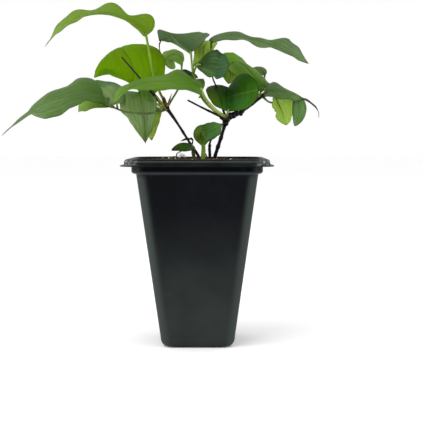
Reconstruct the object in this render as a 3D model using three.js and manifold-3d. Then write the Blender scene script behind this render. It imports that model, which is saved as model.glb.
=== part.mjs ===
// Young potted large-flowered clematis, in leaf and not in flower, in a square black nursery pot.
// Millimetres. Origin: centre of the pot's foot on the floor. +Z up, +X to the right as seen
// from the front, +Y away from the front.
import * as THREE from 'three';
import { mergeVertices } from 'three/addons/utils/BufferGeometryUtils.js';
import Module from 'manifold-3d';

const wasm = await Module();
wasm.setup();
const { Manifold, Mesh } = wasm;

// pot, as half widths of a rounded square
const potHeight = 131.7;
const flangeHalf = 51.5;
const beadHalf = 48.9;
const neckHalf = 44.3;
const bodyTopHalf = 41.3;
const bodyFootHalf = 26.1;
const footHalf = 21.5;
const wall = 1.2;
const ledgeHeight = 121;
const flangeUnder = 127;
const flangeThick = 0.8;
const floorThick = 1.4;
const cornerSteps = 4;
const drainHole = 3.5;
const drainHoleOut = 12;

// soil and the clearances between neighbouring pieces
const soilGap = 0.35;
const soilEdge = 127.6;
const soilCrown = 130.4;
const seatGap = 0.3;

// leaves and stalks
const bladeThick = 0.8;
const bladeEnd = 0.55;
const stalkRadius = 0.8;

function solidOf(geometry) {
  const bare = geometry.index ? geometry.toNonIndexed() : geometry.clone();
  bare.deleteAttribute('normal');
  bare.deleteAttribute('uv');
  const merged = mergeVertices(bare, 1e-4);
  const index = merged.index.array;
  const kept = [];
  for (let i = 0; i < index.length; i += 3) {
    const [a, b, c] = [index[i], index[i + 1], index[i + 2]];
    if (a !== b && b !== c && c !== a) kept.push(a, b, c);
  }
  return new Manifold(new Mesh({
    numProp: 3,
    vertProperties: new Float32Array(merged.attributes.position.array),
    triVerts: new Uint32Array(kept),
  }));
}

function geometryOf(solid) {
  const mesh = solid.getMesh();
  const geometry = new THREE.BufferGeometry();
  const points = new Float32Array(mesh.numVert * 3);
  for (let i = 0; i < mesh.numVert; i += 1) {
    for (let k = 0; k < 3; k += 1) {
      points[i * 3 + k] = mesh.vertProperties[i * mesh.numProp + k];
    }
  }
  geometry.setAttribute('position', new THREE.BufferAttribute(points, 3));
  geometry.setIndex(new THREE.BufferAttribute(new Uint32Array(mesh.triVerts), 1));
  geometry.computeVertexNormals();
  return geometry;
}

// corner radius of the pot's rounded square, for a given half width
function cornerRadius(half) {
  if (half < 26) return half * 0.31;
  return 8 + (half - 26) * 0.19;
}

// A profile of half widths and heights turned into a rounded-square body.
function squareLathe(profile) {
  const around = 4 * (cornerSteps + 1);
  const geometry = new THREE.LatheGeometry(
    profile.map(([half, height]) => new THREE.Vector2(half, height)),
    around,
  );
  const position = geometry.attributes.position;
  for (let i = 0; i <= around; i += 1) {
    const quarter = Math.floor((i % around) / (cornerSteps + 1));
    const step = (i % around) % (cornerSteps + 1);
    const angle = (quarter + step / cornerSteps) * Math.PI / 2;
    const middle = (quarter + 0.5) * Math.PI / 2;
    for (let j = 0; j < profile.length; j += 1) {
      const [half, height] = profile[j];
      const radius = cornerRadius(half);
      const centre = (half - radius) * Math.SQRT2;
      position.setXYZ(
        i * profile.length + j,
        centre * Math.cos(middle) + radius * Math.cos(angle),
        centre * Math.sin(middle) + radius * Math.sin(angle),
        height,
      );
    }
  }
  const solid = solidOf(geometry);
  if (solid.volume() > 0) return solid;
  return solidOf(flipped(geometry));
}

function flipped(geometry) {
  const bare = geometry.toNonIndexed();
  const a = bare.attributes.position.array;
  for (let i = 0; i < a.length; i += 9) {
    for (let k = 0; k < 3; k += 1) {
      [a[i + 3 + k], a[i + 6 + k]] = [a[i + 6 + k], a[i + 3 + k]];
    }
  }
  return bare;
}

function vector([x, y, z]) {
  return new THREE.Vector3(x, y, z);
}

// A round stem through the given points. radii holds the radius at even steps from start to end.
function stem(points, radii, extra = 0, sides = 7) {
  const curve = new THREE.CatmullRomCurve3(points.map(vector), false, 'catmullrom', 0.5);
  const steps = Math.max(3, Math.round(curve.getLength() / 7));
  const frames = curve.computeFrenetFrames(steps, false);
  const geometry = new THREE.CylinderGeometry(1, 1, 1, sides, steps);
  const position = geometry.attributes.position;
  for (let i = 0; i < position.count; i += 1) {
    const along = 0.5 - position.getY(i);
    const step = Math.round(along * steps);
    const place = along * (radii.length - 1);
    const low = Math.min(radii.length - 2, Math.floor(place));
    const radius = THREE.MathUtils.lerp(radii[low], radii[low + 1], place - low) + extra;
    const end = step === 0 ? -extra : (step === steps ? extra : 0);
    const centre = curve.getPointAt(along).addScaledVector(frames.tangents[step], end);
    centre.addScaledVector(frames.normals[step], position.getX(i) * radius);
    centre.addScaledVector(frames.binormals[step], position.getZ(i) * radius);
    position.setXYZ(i, centre.x, centre.y, centre.z);
  }
  const solid = solidOf(geometry);
  if (solid.volume() > 0) return solid;
  return solidOf(flipped(geometry));
}

function ball(centre, size, turn = 0) {
  const geometry = new THREE.IcosahedronGeometry(1, 1);
  geometry.scale(...size);
  geometry.rotateY(turn);
  geometry.translate(...centre);
  return solidOf(geometry);
}

// A leaf blade laid along a curved midrib.
// midrib: four control points from the blade's base to its tip
// width: full width of the blade; widest: place of it along the midrib, 0 to 1
// plump: roundness of the ends, lobes: how far the two basal lobes reach back
// face: roughly where the upper side looks, at the base and at the tip
// fold: rise of the left and right half out of the flat, in degrees
// halves: share of width of the left and right half
// wave: height of the rippling of the margin, number of ripples, and where they start
function bladePoint(leaf, u, v) {
  const curve = leaf.curve;
  const fall = leaf.plump * (1 - leaf.widest) / leaf.widest;
  const near = Math.max(u, 1e-6) / leaf.widest;
  const far = Math.max(1 - u, 1e-6) / (1 - leaf.widest);
  const shape = near ** leaf.plump * far ** fall;
  const half = Math.max(bladeEnd, leaf.width / 2 * shape * leaf.halves[v < 0 ? 0 : 1]);
  const reach = u / 0.07 * Math.exp(1 - u / 0.07);
  const place = u - leaf.lobes * reach * Math.abs(v);
  const kept = THREE.MathUtils.clamp(place, 0, 1);
  const along = curve.getUtoTmapping(kept);
  const tangent = curve.getTangent(along).normalize();
  const centre = curve.getPoint(along);
  centre.addScaledVector(tangent, (place - kept) * leaf.length);
  const hint = vector(leaf.face[0]).lerp(vector(leaf.face[1]), kept);
  const across = tangent.clone().cross(hint).normalize();
  const up = across.clone().cross(tangent);
  const side = Math.sign(v);
  const rise = THREE.MathUtils.degToRad(leaf.fold[v < 0 ? 0 : 1]);
  const w = half * Math.abs(v);
  const [height, count, start] = leaf.wave;
  const calm = Math.min(1, 5 * (1 - u)) * Math.min(1, 6 * u);
  const ripple = height * v * v * calm
    * Math.sin(2 * Math.PI * (count * u + start + 0.17 * side));
  centre.addScaledVector(across, w * Math.cos(rise) * side);
  centre.addScaledVector(up, w * Math.sin(rise) + ripple);
  return [centre, up, Math.cos(rise)];
}

function blade(leaf, extra = 0) {
  const points = leaf.midrib.map(vector);
  leaf.curve = new THREE.CubicBezierCurve3(...points);
  leaf.length = leaf.curve.getLength();
  const long = leaf.steps || 8;
  const wide = 4;
  const geometry = new THREE.BoxGeometry(1, 2, 1, long, wide, 1);
  const position = geometry.attributes.position;
  for (let i = 0; i < position.count; i += 1) {
    const u = position.getX(i) + 0.5;
    const v = position.getY(i);
    const [point, up, slope] = bladePoint(leaf, u, Math.abs(v) < 1e-6 ? 0 : v);
    point.addScaledVector(up, position.getZ(i) * (bladeThick / slope + extra * 2));
    position.setXYZ(i, point.x, point.y, point.z);
  }
  const solid = solidOf(geometry);
  if (solid.volume() > 0) return solid;
  return solidOf(flipped(geometry));
}

// One leaf: its blade joined to its stalk, cut clear of the stems it is seated against.
function leafSolid(leaf, seats) {
  let solid = blade(leaf);
  if (leaf.stalk) {
    const base = vector(leaf.midrib[0]);
    const inward = vector(leaf.midrib[1]).sub(base).setLength(2.2).add(base);
    const path = [...leaf.stalk, leaf.midrib[0], inward.toArray()];
    const radii = leaf.stalkRadii || [stalkRadius, stalkRadius, stalkRadius * 0.9];
    solid = solid.add(stem(path, radii, 0, 6));
  }
  for (const seat of seats) solid = solid.subtract(seat);
  const pieces = solid.decompose();
  pieces.sort((a, b) => b.volume() - a.volume());
  return pieces[0];
}

const group = new THREE.Group();
group.name = 'potted_clematis';

function add(name, solid, colour, roughness) {
  const material = new THREE.MeshStandardMaterial({ color: colour, roughness, metalness: 0 });
  material.name = `${name}_material`;
  const mesh = new THREE.Mesh(geometryOf(solid), material);
  mesh.name = name;
  group.add(mesh);
}

const blackPlastic = 0x1f2224;
const soilBrown = 0x3a2c22;
const perliteWhite = 0xe6e3dc;
const stemBrown = 0x241a15;
const nodeRed = 0x5a3222;
const sunlitGreen = 0x6f9a26;
const leafGreen = 0x3f6e2c;
const darkGreen = 0x2f5a2a;
const blueGreen = 0x36604a;
const paleGreen = 0x86a94e;

// ---- pot ----
const potInside = [
  [bodyFootHalf - wall, 6.5],
  [bodyTopHalf - wall, ledgeHeight - 0.2],
  [neckHalf - wall, ledgeHeight + 1.8],
  [neckHalf - wall, flangeUnder - 0.5],
];
let pot = squareLathe([
  [0, 0],
  [footHalf, 0],
  [footHalf + 2.6, 1.1],
  [footHalf + 4.1, 3.4],
  [bodyFootHalf, 6.5],
  [bodyTopHalf, ledgeHeight],
  [bodyTopHalf + 1.1, ledgeHeight + 0.9],
  [neckHalf - 0.5, ledgeHeight + 1.4],
  [neckHalf, ledgeHeight + 2.4],
  [neckHalf + 0.1, flangeUnder - 0.5],
  [neckHalf + 1.4, flangeUnder],
  [flangeHalf, flangeUnder],
  [flangeHalf, flangeUnder + flangeThick],
  [beadHalf - 0.1, flangeUnder + flangeThick + 0.2],
  [beadHalf, potHeight - 2.6],
  [beadHalf - 0.3, potHeight - 1],
  [beadHalf - 1.3, potHeight - 0.1],
  [beadHalf - 2.5, potHeight],
  [beadHalf - 3.6, potHeight - 0.6],
  [beadHalf - 4.3, potHeight - 2.2],
  ...potInside.slice().reverse(),
  [footHalf + 1.9, floorThick + 1.2],
  [footHalf, floorThick],
  [0, floorThick],
]);
const drains = [[1, 1], [1, -1], [-1, 1], [-1, -1]];
for (const [x, y] of drains) {
  const drill = new THREE.CylinderGeometry(drainHole, drainHole, 4 * floorThick, 8);
  drill.rotateX(Math.PI / 2);
  drill.translate(x * drainHoleOut, y * drainHoleOut, floorThick);
  pot = pot.subtract(solidOf(drill));
}

// ---- woody stems ----
const leftNode = [-21.5, -8, 166.5];
const rightNode = [20, 0, 159];
const branchEnd = [46.5, 4, 176];
const upperEnd = [9.5, 10, 210.5];

const leftStem = [[3, 3, 120], [1, 2, 131.5], [-5.5, 0, 142], [-14, -4, 155.5], leftNode];
const leftStemRadii = [1.4, 1.2, 0.95, 0.95, 1.5];
const leftStick = [leftNode, [-31.5, -10, 177], [-41.5, -12, 189], [-52, -14, 201]];
const leftStickRadii = [1, 0.7, 0.6, 0.55];
const rightStem = [[10.5, 4, 120], [12, 4, 131.5], [13.5, 3, 137], [17, 2, 148], rightNode];
const rightStemRadii = [1.5, 1.2, 1.35, 1.3, 1.3, 2];
const rightBranch = [rightNode, [25.5, 1, 161.5], [31.5, 2, 165], [39, 3, 170], branchEnd];
const rightBranchRadii = [1.9, 1.3, 1.45, 1.1, 1.2];
const rightStick = [rightNode, [6, -5, 165.5], [-7, -9, 172]];
const rightStickRadii = [1.2, 0.85, 0.75];
const upperStem = [rightNode, [17, 3, 168.5], [13, 6, 182], [10.5, 8, 189], [10, 10, 200], upperEnd];
const upperStemRadii = [1.2, 0.75, 0.65, 0.6, 0.6];

function leftVineSolid(extra) {
  return stem(leftStem, leftStemRadii, extra)
    .add(stem(leftStick, leftStickRadii, extra, 6))
    .add(ball(leftNode, [2.1 + extra, 2.1 + extra, 2.5 + extra]));
}

function rightVineSolid(extra) {
  return stem(rightStem, rightStemRadii, extra)
    .add(stem(rightBranch, rightBranchRadii, extra))
    .add(stem(rightStick, rightStickRadii, extra, 6))
    .add(stem(upperStem, upperStemRadii, extra, 6))
    .add(ball(rightNode, [2.3 + extra, 2.3 + extra, 2.4 + extra]))
    .add(ball([31.5, 2, 164.7], [1.8 + extra, 1.8 + extra, 1.9 + extra]));
}

const deadStub = [[8.2, 0, 121], [8.6, 0, 131.5], [8.3, 0, 141], [10.2, 0.5, 146]];
const deadStubRadii = [1.1, 0.9, 1.2, 0.5];
const deadSpike = [[7.6, -6, 123], [6.6, -6, 131], [5.6, -6, 134.8]];
const tendril = [[-15.6, 8, 123], [-15.6, 8, 131.5], [-15.1, 8, 134.6], [-11.5, 8, 136.6]];

// ---- leaves ----
const leaves = {
  top_left_leaf: {
    midrib: [[-34, 8, 217], [-39, 5, 231], [-79, 8, 246], [-108, 7, 211]],
    width: 16.5, widest: 0.31, plump: 0.37, lobes: 0.02,
    face: [[-0.2, -0.4, 0.9], [0, 0.2, 1]], fold: [32, 30], halves: [0.8, 1.2],
    wave: [3, 3.2, 0.68], steps: 18,
    stalk: [[-21.8, -7, 169], [-27, 2, 178], [-31, 6, 189], [-32.7, 6.5, 200]],
    stalkRadii: [0.9, 0.85, 0.8, 0.7],
  },
  left_back_leaf: {
    midrib: [[-48, 8, 184], [-41, 14, 193], [-54, 22, 211], [-58, 39, 213]],
    width: 52, widest: 0.34, plump: 0.42, lobes: 0.11,
    face: [[0, -0.9, 0.3], [-0.3, -0.1, 0.9]], fold: [0, 0], halves: [1.1, 0.9],
    wave: [0.4, 1, 0], steps: 12,
    stalk: [[-23.6, -6.6, 168], [-32.5, 1, 175], [-41, 5.5, 180.5]],
  },
  left_front_leaf: {
    midrib: [[-64, -25, 173], [-66, -37, 187], [-101, -34, 174], [-129, -44, 148]],
    width: 32.5, widest: 0.33, plump: 0.56, lobes: 0,
    face: [[0, -0.7, 0.7], [-0.3, -0.2, 0.9]], fold: [-11, -12], halves: [0.9, 1.2],
    wave: [2, 1.8, 0], steps: 12,
    stalk: [[-22, -9.8, 165.4], [-25.5, -24.5, 163.5], [-34, -36, 162], [-47, -38.5, 163],
      [-57.5, -33, 167]],
    stalkRadii: [1, 0.95, 0.9, 0.85, 0.75],
  },
  left_lower_leaf: {
    midrib: [[-59, -18, 167], [-67, -12, 178], [-86, 6, 177], [-87, 26, 168]],
    width: 23, widest: 0.46, plump: 0.48, lobes: 0.01,
    face: [[0, 0.2, 1], [-0.5, -0.1, 0.9]], fold: [-55, -36], halves: [1.1, 0.9],
    wave: [0.6, 1.7, 0.3],
    stalk: [[-56, -32.5, 166.3]],
  },
  left_middle_leaf: {
    midrib: [[-55, -20, 169], [-64, -5, 185], [-63, 3, 177], [-73, 10, 187]],
    width: 28, widest: 0.43, plump: 0.53, lobes: 0.1,
    face: [[0.1, -0.9, 0.4], [0.3, -0.8, 0.6]], fold: [10, 6], halves: [1, 0.7],
    wave: [0.7, 1.5, 0],
    stalk: [[-53, -36, 165.3]],
  },
  hanging_leaf: {
    midrib: [[-39, -14, 178], [-38, -21, 170], [-36, -25, 157], [-36, -18, 142]],
    width: 28, widest: 0.25, plump: 0.46, lobes: 0.04,
    face: [[0, -1, 0.3], [0, -1, 0]], fold: [8, 14], halves: [0.8, 1.1],
    wave: [0.3, 1.1, 0], steps: 12,
    stalk: [[-23.8, -9.4, 167.6], [-29, -10, 175], [-35, -11, 179]],
  },
  hanging_side_leaf: {
    midrib: [[-27, -5, 166.5], [-33, -4, 160], [-34, -13, 156], [-32, -10, 144]],
    width: 12, widest: 0.4, plump: 0.55, lobes: 0.04,
    face: [[0, 1, 0.3], [0.3, 0.9, 0.3]], fold: [12, 15], halves: [1, 1],
    wave: [0.5, 1.3, 0],
    stalk: [[-22, -7.6, 165.4]],
  },
  long_front_leaf: {
    midrib: [[5, -18, 180], [-6, -22, 188], [-46, -30, 186], [-54, -42, 167]],
    width: 32, widest: 0.29, plump: 0.39, lobes: 0.07,
    face: [[0, -0.6, 0.8], [-0.6, -0.5, 0.6]], fold: [3, -13], halves: [0.9, 1.1],
    wave: [1.1, 1.5, 0.1], steps: 12,
    stalk: [[19.5, -2.5, 158.5], [13, -12.5, 166], [7, -17, 174]],
    stalkRadii: [1.1, 1, 0.9],
  },
  crown_left_leaf: {
    midrib: [[-4, 2, 208], [-14, 16, 213], [-22, 27, 221], [-28, 8, 210]],
    width: 34, widest: 0.3, plump: 0.56, lobes: 0.12,
    face: [[0, -0.2, 1], [0.5, -0.1, 0.8]], fold: [32, 29], halves: [0.8, 1.2],
    wave: [0.4, 1, 0], steps: 12,
    stalk: [[18.5, 0.5, 160.5], [11, 2, 165.5], [3.5, 2, 173], [0, 2, 182], [-3.5, 2, 192],
      [-4.2, 2, 200]],
    stalkRadii: [1, 0.9, 0.85, 0.8, 0.8, 0.8],
  },
  crown_inner_leaf: {
    midrib: [[-3, 5, 197], [12, 8, 206], [-4, 20, 213], [16, 32, 217]],
    width: 18, widest: 0.42, plump: 0.56, lobes: 0,
    face: [[-0.1, 1, -0.2], [-0.1, 0.8, -0.6]], fold: [11, 8], halves: [1.1, 0.9],
    wave: [0.5, 1.6, 0],
    stalk: [[-3.6, 2, 193.5]],
  },
  crown_front_leaf: {
    midrib: [[-1, -6, 196], [12, -6, 196], [16, -4, 194], [25, -11, 201]],
    width: 30, widest: 0.41, plump: 0.56, lobes: 0.02,
    face: [[0, -0.6, 0.8], [0, -0.8, 0.5]], fold: [1, 11], halves: [1, 1],
    wave: [1.1, 1.4, 0],
    stalk: [[-3, 2, 191.5]],
  },
  heart_leaf: {
    midrib: [[21, -4, 164], [24, 2, 170], [20, 14, 188], [23, 26, 181]],
    width: 42, widest: 0.3, plump: 0.46, lobes: 0.11,
    face: [[0.1, -0.4, 0.9], [-0.4, 0, 0.9]], fold: [33, 33], halves: [0.9, 1.2],
    wave: [0.5, 1.5, 0], steps: 12,
    stalk: [[20.5, -1, 160]],
  },
  top_right_leaf: {
    midrib: [[10, 8, 213], [25, 11, 218], [53, 4, 210], [77, -12, 198]],
    width: 29, widest: 0.33, plump: 0.43, lobes: 0.08,
    face: [[0, 0.3, 1], [-0.2, -0.2, 0.9]], fold: [25, 20], halves: [1.2, 0.8],
    wave: [1.6, 2.1, 0], steps: 12,
    stalk: [[9.5, 10, 210]],
  },
  right_arching_leaf: {
    midrib: [[49, 18, 180], [36, 31, 198], [27, 43, 214], [22, 39, 184]],
    width: 29, widest: 0.4, plump: 0.52, lobes: 0.06,
    face: [[0, -0.5, 0.9], [0.7, -0.7, 0.3]], fold: [-6, -20], halves: [1, 1],
    wave: [0.6, 1.3, 0], steps: 12,
    stalk: [[24, 3.4, 161], [31.5, 5.5, 165.5], [39, 6.2, 170.5], [47.5, 12, 176]],
  },
  right_back_leaf: {
    midrib: [[50, 47, 193], [46, 50, 200], [40, 53, 199], [36, 55, 193]],
    width: 12, widest: 0.43, plump: 0.57, lobes: 0,
    face: [[0, -0.5, 0.9], [-0.2, -0.5, 0.9]], fold: [-10, -3], halves: [1, 1],
    wave: [0.1, 1.1, 0],
    stalk: [[39, 7.2, 170.8], [43, 22, 174], [48, 38, 184]],
  },
  far_right_leaf: {
    midrib: [[47, 4, 178], [55, 0, 185], [88, 11, 173], [86, 4, 160]],
    width: 28, widest: 0.21, plump: 0.43, lobes: 0.02,
    face: [[0, -0.6, 0.8], [0.4, -0.5, 0.8]], fold: [-20, 2], halves: [1.2, 0.8],
    wave: [1, 1.5, 0.1], steps: 12,
    stalk: [[45.5, 4, 175]],
  },
  far_right_light_leaf: {
    midrib: [[56, 8, 174], [58, 10, 172], [59, 12, 165], [62, 11, 155]],
    width: 12.5, widest: 0.36, plump: 0.47, lobes: 0,
    face: [[0, 1, 0.2], [-0.1, 1, 0.1]], fold: [3, 3], halves: [1, 1],
    wave: [0.1, 1, 0.1],
    stalk: [[48, 4.4, 175.9]],
  },
  far_right_blue_leaf: {
    midrib: [[72, 8, 173], [71, 7, 168], [72, 2, 164], [70, 1, 154]],
    width: 12, widest: 0.4, plump: 0.49, lobes: 0,
    face: [[-0.1, -1, 0.2], [0, -1, 0.2]], fold: [4, 10], halves: [1.1, 0.9],
    wave: [0.1, 1, 0],
    stalk: [[46.6, 5.9, 174.6], [51, 11, 171.5], [58, 16, 171], [66, 14, 174]],
  },
  small_back_leaf: {
    midrib: [[-6, 9, 186], [-10, 14, 193], [-6, 16, 184], [-10, 27, 196]],
    width: 13, widest: 0.4, plump: 0.45, lobes: 0.08,
    face: [[0.1, -0.8, 0.5], [0.2, -0.5, 0.9]], fold: [8, 9], halves: [1, 1],
    wave: [0.3, 1.5, 0.1],
    stalk: [[-14, 8, 181]],
  },
  crumpled_back_leaf: {
    midrib: [[-12, 22, 198], [-9, 26, 210], [-21, 30, 214], [-27, 34, 201]],
    width: 24, widest: 0.39, plump: 0.51, lobes: 0.02,
    face: [[0.7, -0.6, 0.2], [-0.8, -0.6, 0.3]], fold: [-23, -20], halves: [1, 0.9],
    wave: [1.2, 2.2, 0.5],
    stalk: [[-20.5, -6, 168.5], [-17, 2, 175], [-14, 8, 181], [-12, 15, 189]],
  },
  basal_spoon_leaf: {
    midrib: [[4, -9, 140], [2, -11, 154], [-1, -17, 146], [18, -12, 155]],
    width: 11, widest: 0.35, plump: 0.5, lobes: 0,
    face: [[-0.1, -1, 0.1], [0, -0.9, 0.3]], fold: [9, 7], halves: [0.9, 1.2],
    wave: [0.1, 1, 0],
    stalk: [[3.5, -9, 121], [3.7, -9, 131], [4, -9, 136]],
    stalkRadii: [1, 1.1, 1.2, 1],
  },
  basal_low_leaf: {
    midrib: [[-3, -9, 139], [-8, -12, 142], [-14, -11, 140], [-18, -13, 137]],
    width: 11, widest: 0.43, plump: 0.59, lobes: 0,
    face: [[0.1, -0.6, 0.8], [0, -0.4, 0.9]], fold: [-6, -14], halves: [1, 1],
    wave: [0.2, 1.8, 0],
    stalk: [[0, -6, 121], [-0.5, -6.5, 131], [-1.5, -8, 136]],
    stalkRadii: [1.3, 1.4, 1.3, 0.9],
  },
  basal_sickle_leaf: {
    midrib: [[-3.5, -3, 144.5], [-5, -4, 146], [-8, -5, 146], [-12, -6, 143.5]],
    width: 4, widest: 0.4, plump: 0.5, lobes: 0,
    face: [[0, -0.3, 1], [0, -0.3, 1]], fold: [-10, -10], halves: [1, 1],
    wave: [0, 1, 0],
    stalk: [[-5, 0, 141.5]],
    stalkRadii: [0.6, 0.6],
  },
};

const leafColours = {
  top_left_leaf: sunlitGreen,
  left_back_leaf: sunlitGreen,
  left_lower_leaf: sunlitGreen,
  hanging_side_leaf: paleGreen,
  crown_inner_leaf: paleGreen,
  far_right_light_leaf: paleGreen,
  right_arching_leaf: paleGreen,
  left_middle_leaf: blueGreen,
  hanging_leaf: blueGreen,
  crown_front_leaf: blueGreen,
  far_right_blue_leaf: blueGreen,
  heart_leaf: darkGreen,
  basal_low_leaf: darkGreen,
  basal_sickle_leaf: stemBrown,
};

// which pieces each leaf's stalk is seated against, and so is cut clear of
const stalkOf = (name) => {
  const leaf = leaves[name];
  return stem([...leaf.stalk, leaf.midrib[0]], [0.95 + seatGap, 0.95 + seatGap], 0, 8);
};
const leftVineClear = leftVineSolid(seatGap);
const rightVineClear = rightVineSolid(seatGap);
const seats = {
  left_lower_leaf: ['left_front_leaf'],
  left_middle_leaf: ['left_front_leaf'],
  crown_inner_leaf: ['crown_left_leaf'],
  crown_front_leaf: ['crown_left_leaf'],
  small_back_leaf: ['crumpled_back_leaf'],
  right_back_leaf: ['right_arching_leaf'],
};

// ---- soil, with a pocket round every stem that stands in it ----
let soil = squareLathe([
  [0, floorThick + seatGap],
  [footHalf - soilGap, floorThick + seatGap],
  [footHalf + 1.7 - soilGap, floorThick + 1.5],
  [bodyFootHalf - wall - soilGap, 6.6],
  [bodyTopHalf - wall - soilGap, ledgeHeight - 0.2],
  [neckHalf - wall - soilGap, ledgeHeight + 2.5],
  [neckHalf - wall - soilGap, soilEdge - 1.4],
  [neckHalf - wall - 1.6, soilEdge],
  [36, soilEdge + 1.1],
  [22, soilEdge + 2.1],
  [10, soilCrown],
  [0, soilCrown],
]);
const standing = [
  stem(leftStem, leftStemRadii, seatGap),
  stem(rightStem, rightStemRadii, seatGap),
  stem(deadStub, deadStubRadii, seatGap, 6),
  stem(deadSpike, [0.8, 0.7, 0.5], seatGap, 6),
  stem(tendril, [0.6, 0.55, 0.5], seatGap, 6),
];
for (const name of ['basal_spoon_leaf', 'basal_low_leaf']) {
  const leaf = leaves[name];
  const inward = vector(leaf.midrib[1]).sub(vector(leaf.midrib[0])).setLength(2.2);
  const end = inward.add(vector(leaf.midrib[0])).toArray();
  standing.push(stem([...leaf.stalk, leaf.midrib[0], end], leaf.stalkRadii, seatGap, 6));
}
for (const piece of standing) soil = soil.subtract(piece);

add('pot', pot, blackPlastic, 0.42);
add('soil', soil, soilBrown, 0.95);
add('perlite_grain', ball([-12, 16, 132.6], [3.2, 2.4, 2.1], 0.3), perliteWhite, 0.9);
add('left_vine', leftVineSolid(0), stemBrown, 0.75);
add('right_vine', rightVineSolid(0), stemBrown, 0.75);
add('dead_stub', stem(deadStub, deadStubRadii, 0, 6), stemBrown, 0.8);
add('dead_spike', stem(deadSpike, [0.8, 0.7, 0.5], 0, 6), stemBrown, 0.8);
add('dry_tendril', stem(tendril, [0.6, 0.55, 0.5], 0, 6), stemBrown, 0.8);
const bud = ball([-22.8, -10.9, 170.4], [1.6, 1.5, 3.2], -0.25);
add('left_bud', bud.subtract(leftVineClear), nodeRed, 0.7);

for (const [name, leaf] of Object.entries(leaves)) {
  const cuts = [leftVineClear, rightVineClear];
  for (const other of seats[name] || []) cuts.push(stalkOf(other));
  add(name, leafSolid(leaf, cuts), leafColours[name] || leafGreen, 0.5);
}

export default group;
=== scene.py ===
import math
import bpy
import bmesh
from mathutils import Matrix, Vector, noise


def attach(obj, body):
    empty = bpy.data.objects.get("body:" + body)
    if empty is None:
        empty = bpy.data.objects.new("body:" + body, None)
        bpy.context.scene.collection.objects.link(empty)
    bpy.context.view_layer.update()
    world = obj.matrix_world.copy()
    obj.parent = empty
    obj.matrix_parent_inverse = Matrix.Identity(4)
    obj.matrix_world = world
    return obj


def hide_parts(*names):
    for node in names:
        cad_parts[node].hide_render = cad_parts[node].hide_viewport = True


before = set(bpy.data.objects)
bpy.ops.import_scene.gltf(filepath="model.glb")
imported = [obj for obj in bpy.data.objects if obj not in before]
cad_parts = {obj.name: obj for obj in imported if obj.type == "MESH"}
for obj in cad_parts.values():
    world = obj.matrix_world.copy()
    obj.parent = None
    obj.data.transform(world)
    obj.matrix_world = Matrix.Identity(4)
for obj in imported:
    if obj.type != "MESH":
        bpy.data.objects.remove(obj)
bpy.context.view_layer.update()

# Young clematis in a square black nursery pot. Metres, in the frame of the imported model.
scene = bpy.context.scene
mm = 0.001


# camera, at the photograph's angle
cameraSettings = dict(
    place=(9.3, -620.0, 146.0),  # mm
    pitch=5.63,  # degrees down from level
    focal=871.0,  # in pixels of the picture
    tall=447,  # pixels
    sensor=36.0,
)


def makeCamera(settings):
    data = bpy.data.cameras.new("photoCamera")
    data.sensor_width = settings["sensor"]
    data.lens = settings["sensor"] * settings["focal"] / settings["tall"]
    data.clip_start = 0.01
    camera = bpy.data.objects.new("photoCamera", data)
    camera.location = Vector(settings["place"]) * mm
    camera.rotation_euler = (math.radians(90 - settings["pitch"]), 0, 0)
    scene.collection.objects.link(camera)
    scene.camera = camera


makeCamera(cameraSettings)
print("camera placed")


# node helpers, for geometry and materials alike: a wire is a node's output, and sums with it make Math nodes
class Wire:
    def __init__(self, socket):
        self.socket = socket

    def __add__(self, other):
        return calc("ADD", self, other)

    def __sub__(self, other):
        return calc("SUBTRACT", self, other)

    def __rsub__(self, other):
        return calc("SUBTRACT", other, self)

    def __mul__(self, other):
        return calc("MULTIPLY", self, other)

    def __truediv__(self, other):
        return calc("DIVIDE", self, other)

    def __pow__(self, other):
        return calc("POWER", self, other)

    __radd__ = __add__
    __rmul__ = __mul__


def treeOf(values):
    return next(value.socket.id_data for value in values if isinstance(value, Wire))


def feed(socket, value):
    if isinstance(value, Wire):
        socket.id_data.links.new(value.socket, socket)
    else:
        socket.default_value = value


def addNode(tree, kind, feeds=None, **settings):
    made = tree.nodes.new(kind)
    for name, value in settings.items():
        setattr(made, name, value)
    for key, value in (feeds or {}).items():
        feed(made.inputs[key], value)
    return made


def nodeOut(tree, kind, feeds=None, out=0, **settings):
    return Wire(addNode(tree, kind, feeds, **settings).outputs[out])


def calc(operation, *values, clamp=False):
    feeds = dict(enumerate(values))
    return nodeOut(treeOf(values), "ShaderNodeMath", feeds, operation=operation, use_clamp=clamp)


def vec(operation, first, second=None, out="Vector"):
    feeds = {0: first}
    if second is not None:
        feeds[3 if operation == "SCALE" else 1] = second
    return nodeOut(treeOf((first, second)), "ShaderNodeVectorMath", feeds, out, operation=operation)


def least(first, second):
    return calc("MINIMUM", first, second)


def most(first, second):
    return calc("MAXIMUM", first, second)


def bell(gap):
    return calc("EXPONENT", gap * gap * -1.0)


def split(vector):
    return [Wire(part) for part in addNode(treeOf([vector]), "ShaderNodeSeparateXYZ", {0: vector}).outputs]


def combine(*parts):
    return nodeOut(treeOf(parts), "ShaderNodeCombineXYZ", dict(enumerate(parts)))


def mix(factor, first, second, kind="FLOAT"):
    letter = {"FLOAT": "Float", "VECTOR": "Vector", "RGBA": "Color"}[kind]
    made = addNode(treeOf((factor, first, second)), "ShaderNodeMix", data_type=kind)
    sockets = {socket.identifier: socket for socket in made.inputs}
    for label, value in (("Factor_Float", factor), ("A_" + letter, first), ("B_" + letter, second)):
        feed(sockets[label], value)
    return Wire(next(socket for socket in made.outputs if socket.identifier == "Result_" + letter))


def noiseOf(place, scale, detail=3.0, rough=0.55, distort=0.0, out="Fac"):
    feeds = {"Vector": place, "Scale": scale, "Detail": detail, "Roughness": rough, "Distortion": distort}
    return nodeOut(treeOf([place]), "ShaderNodeTexNoise", feeds, out)


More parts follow.
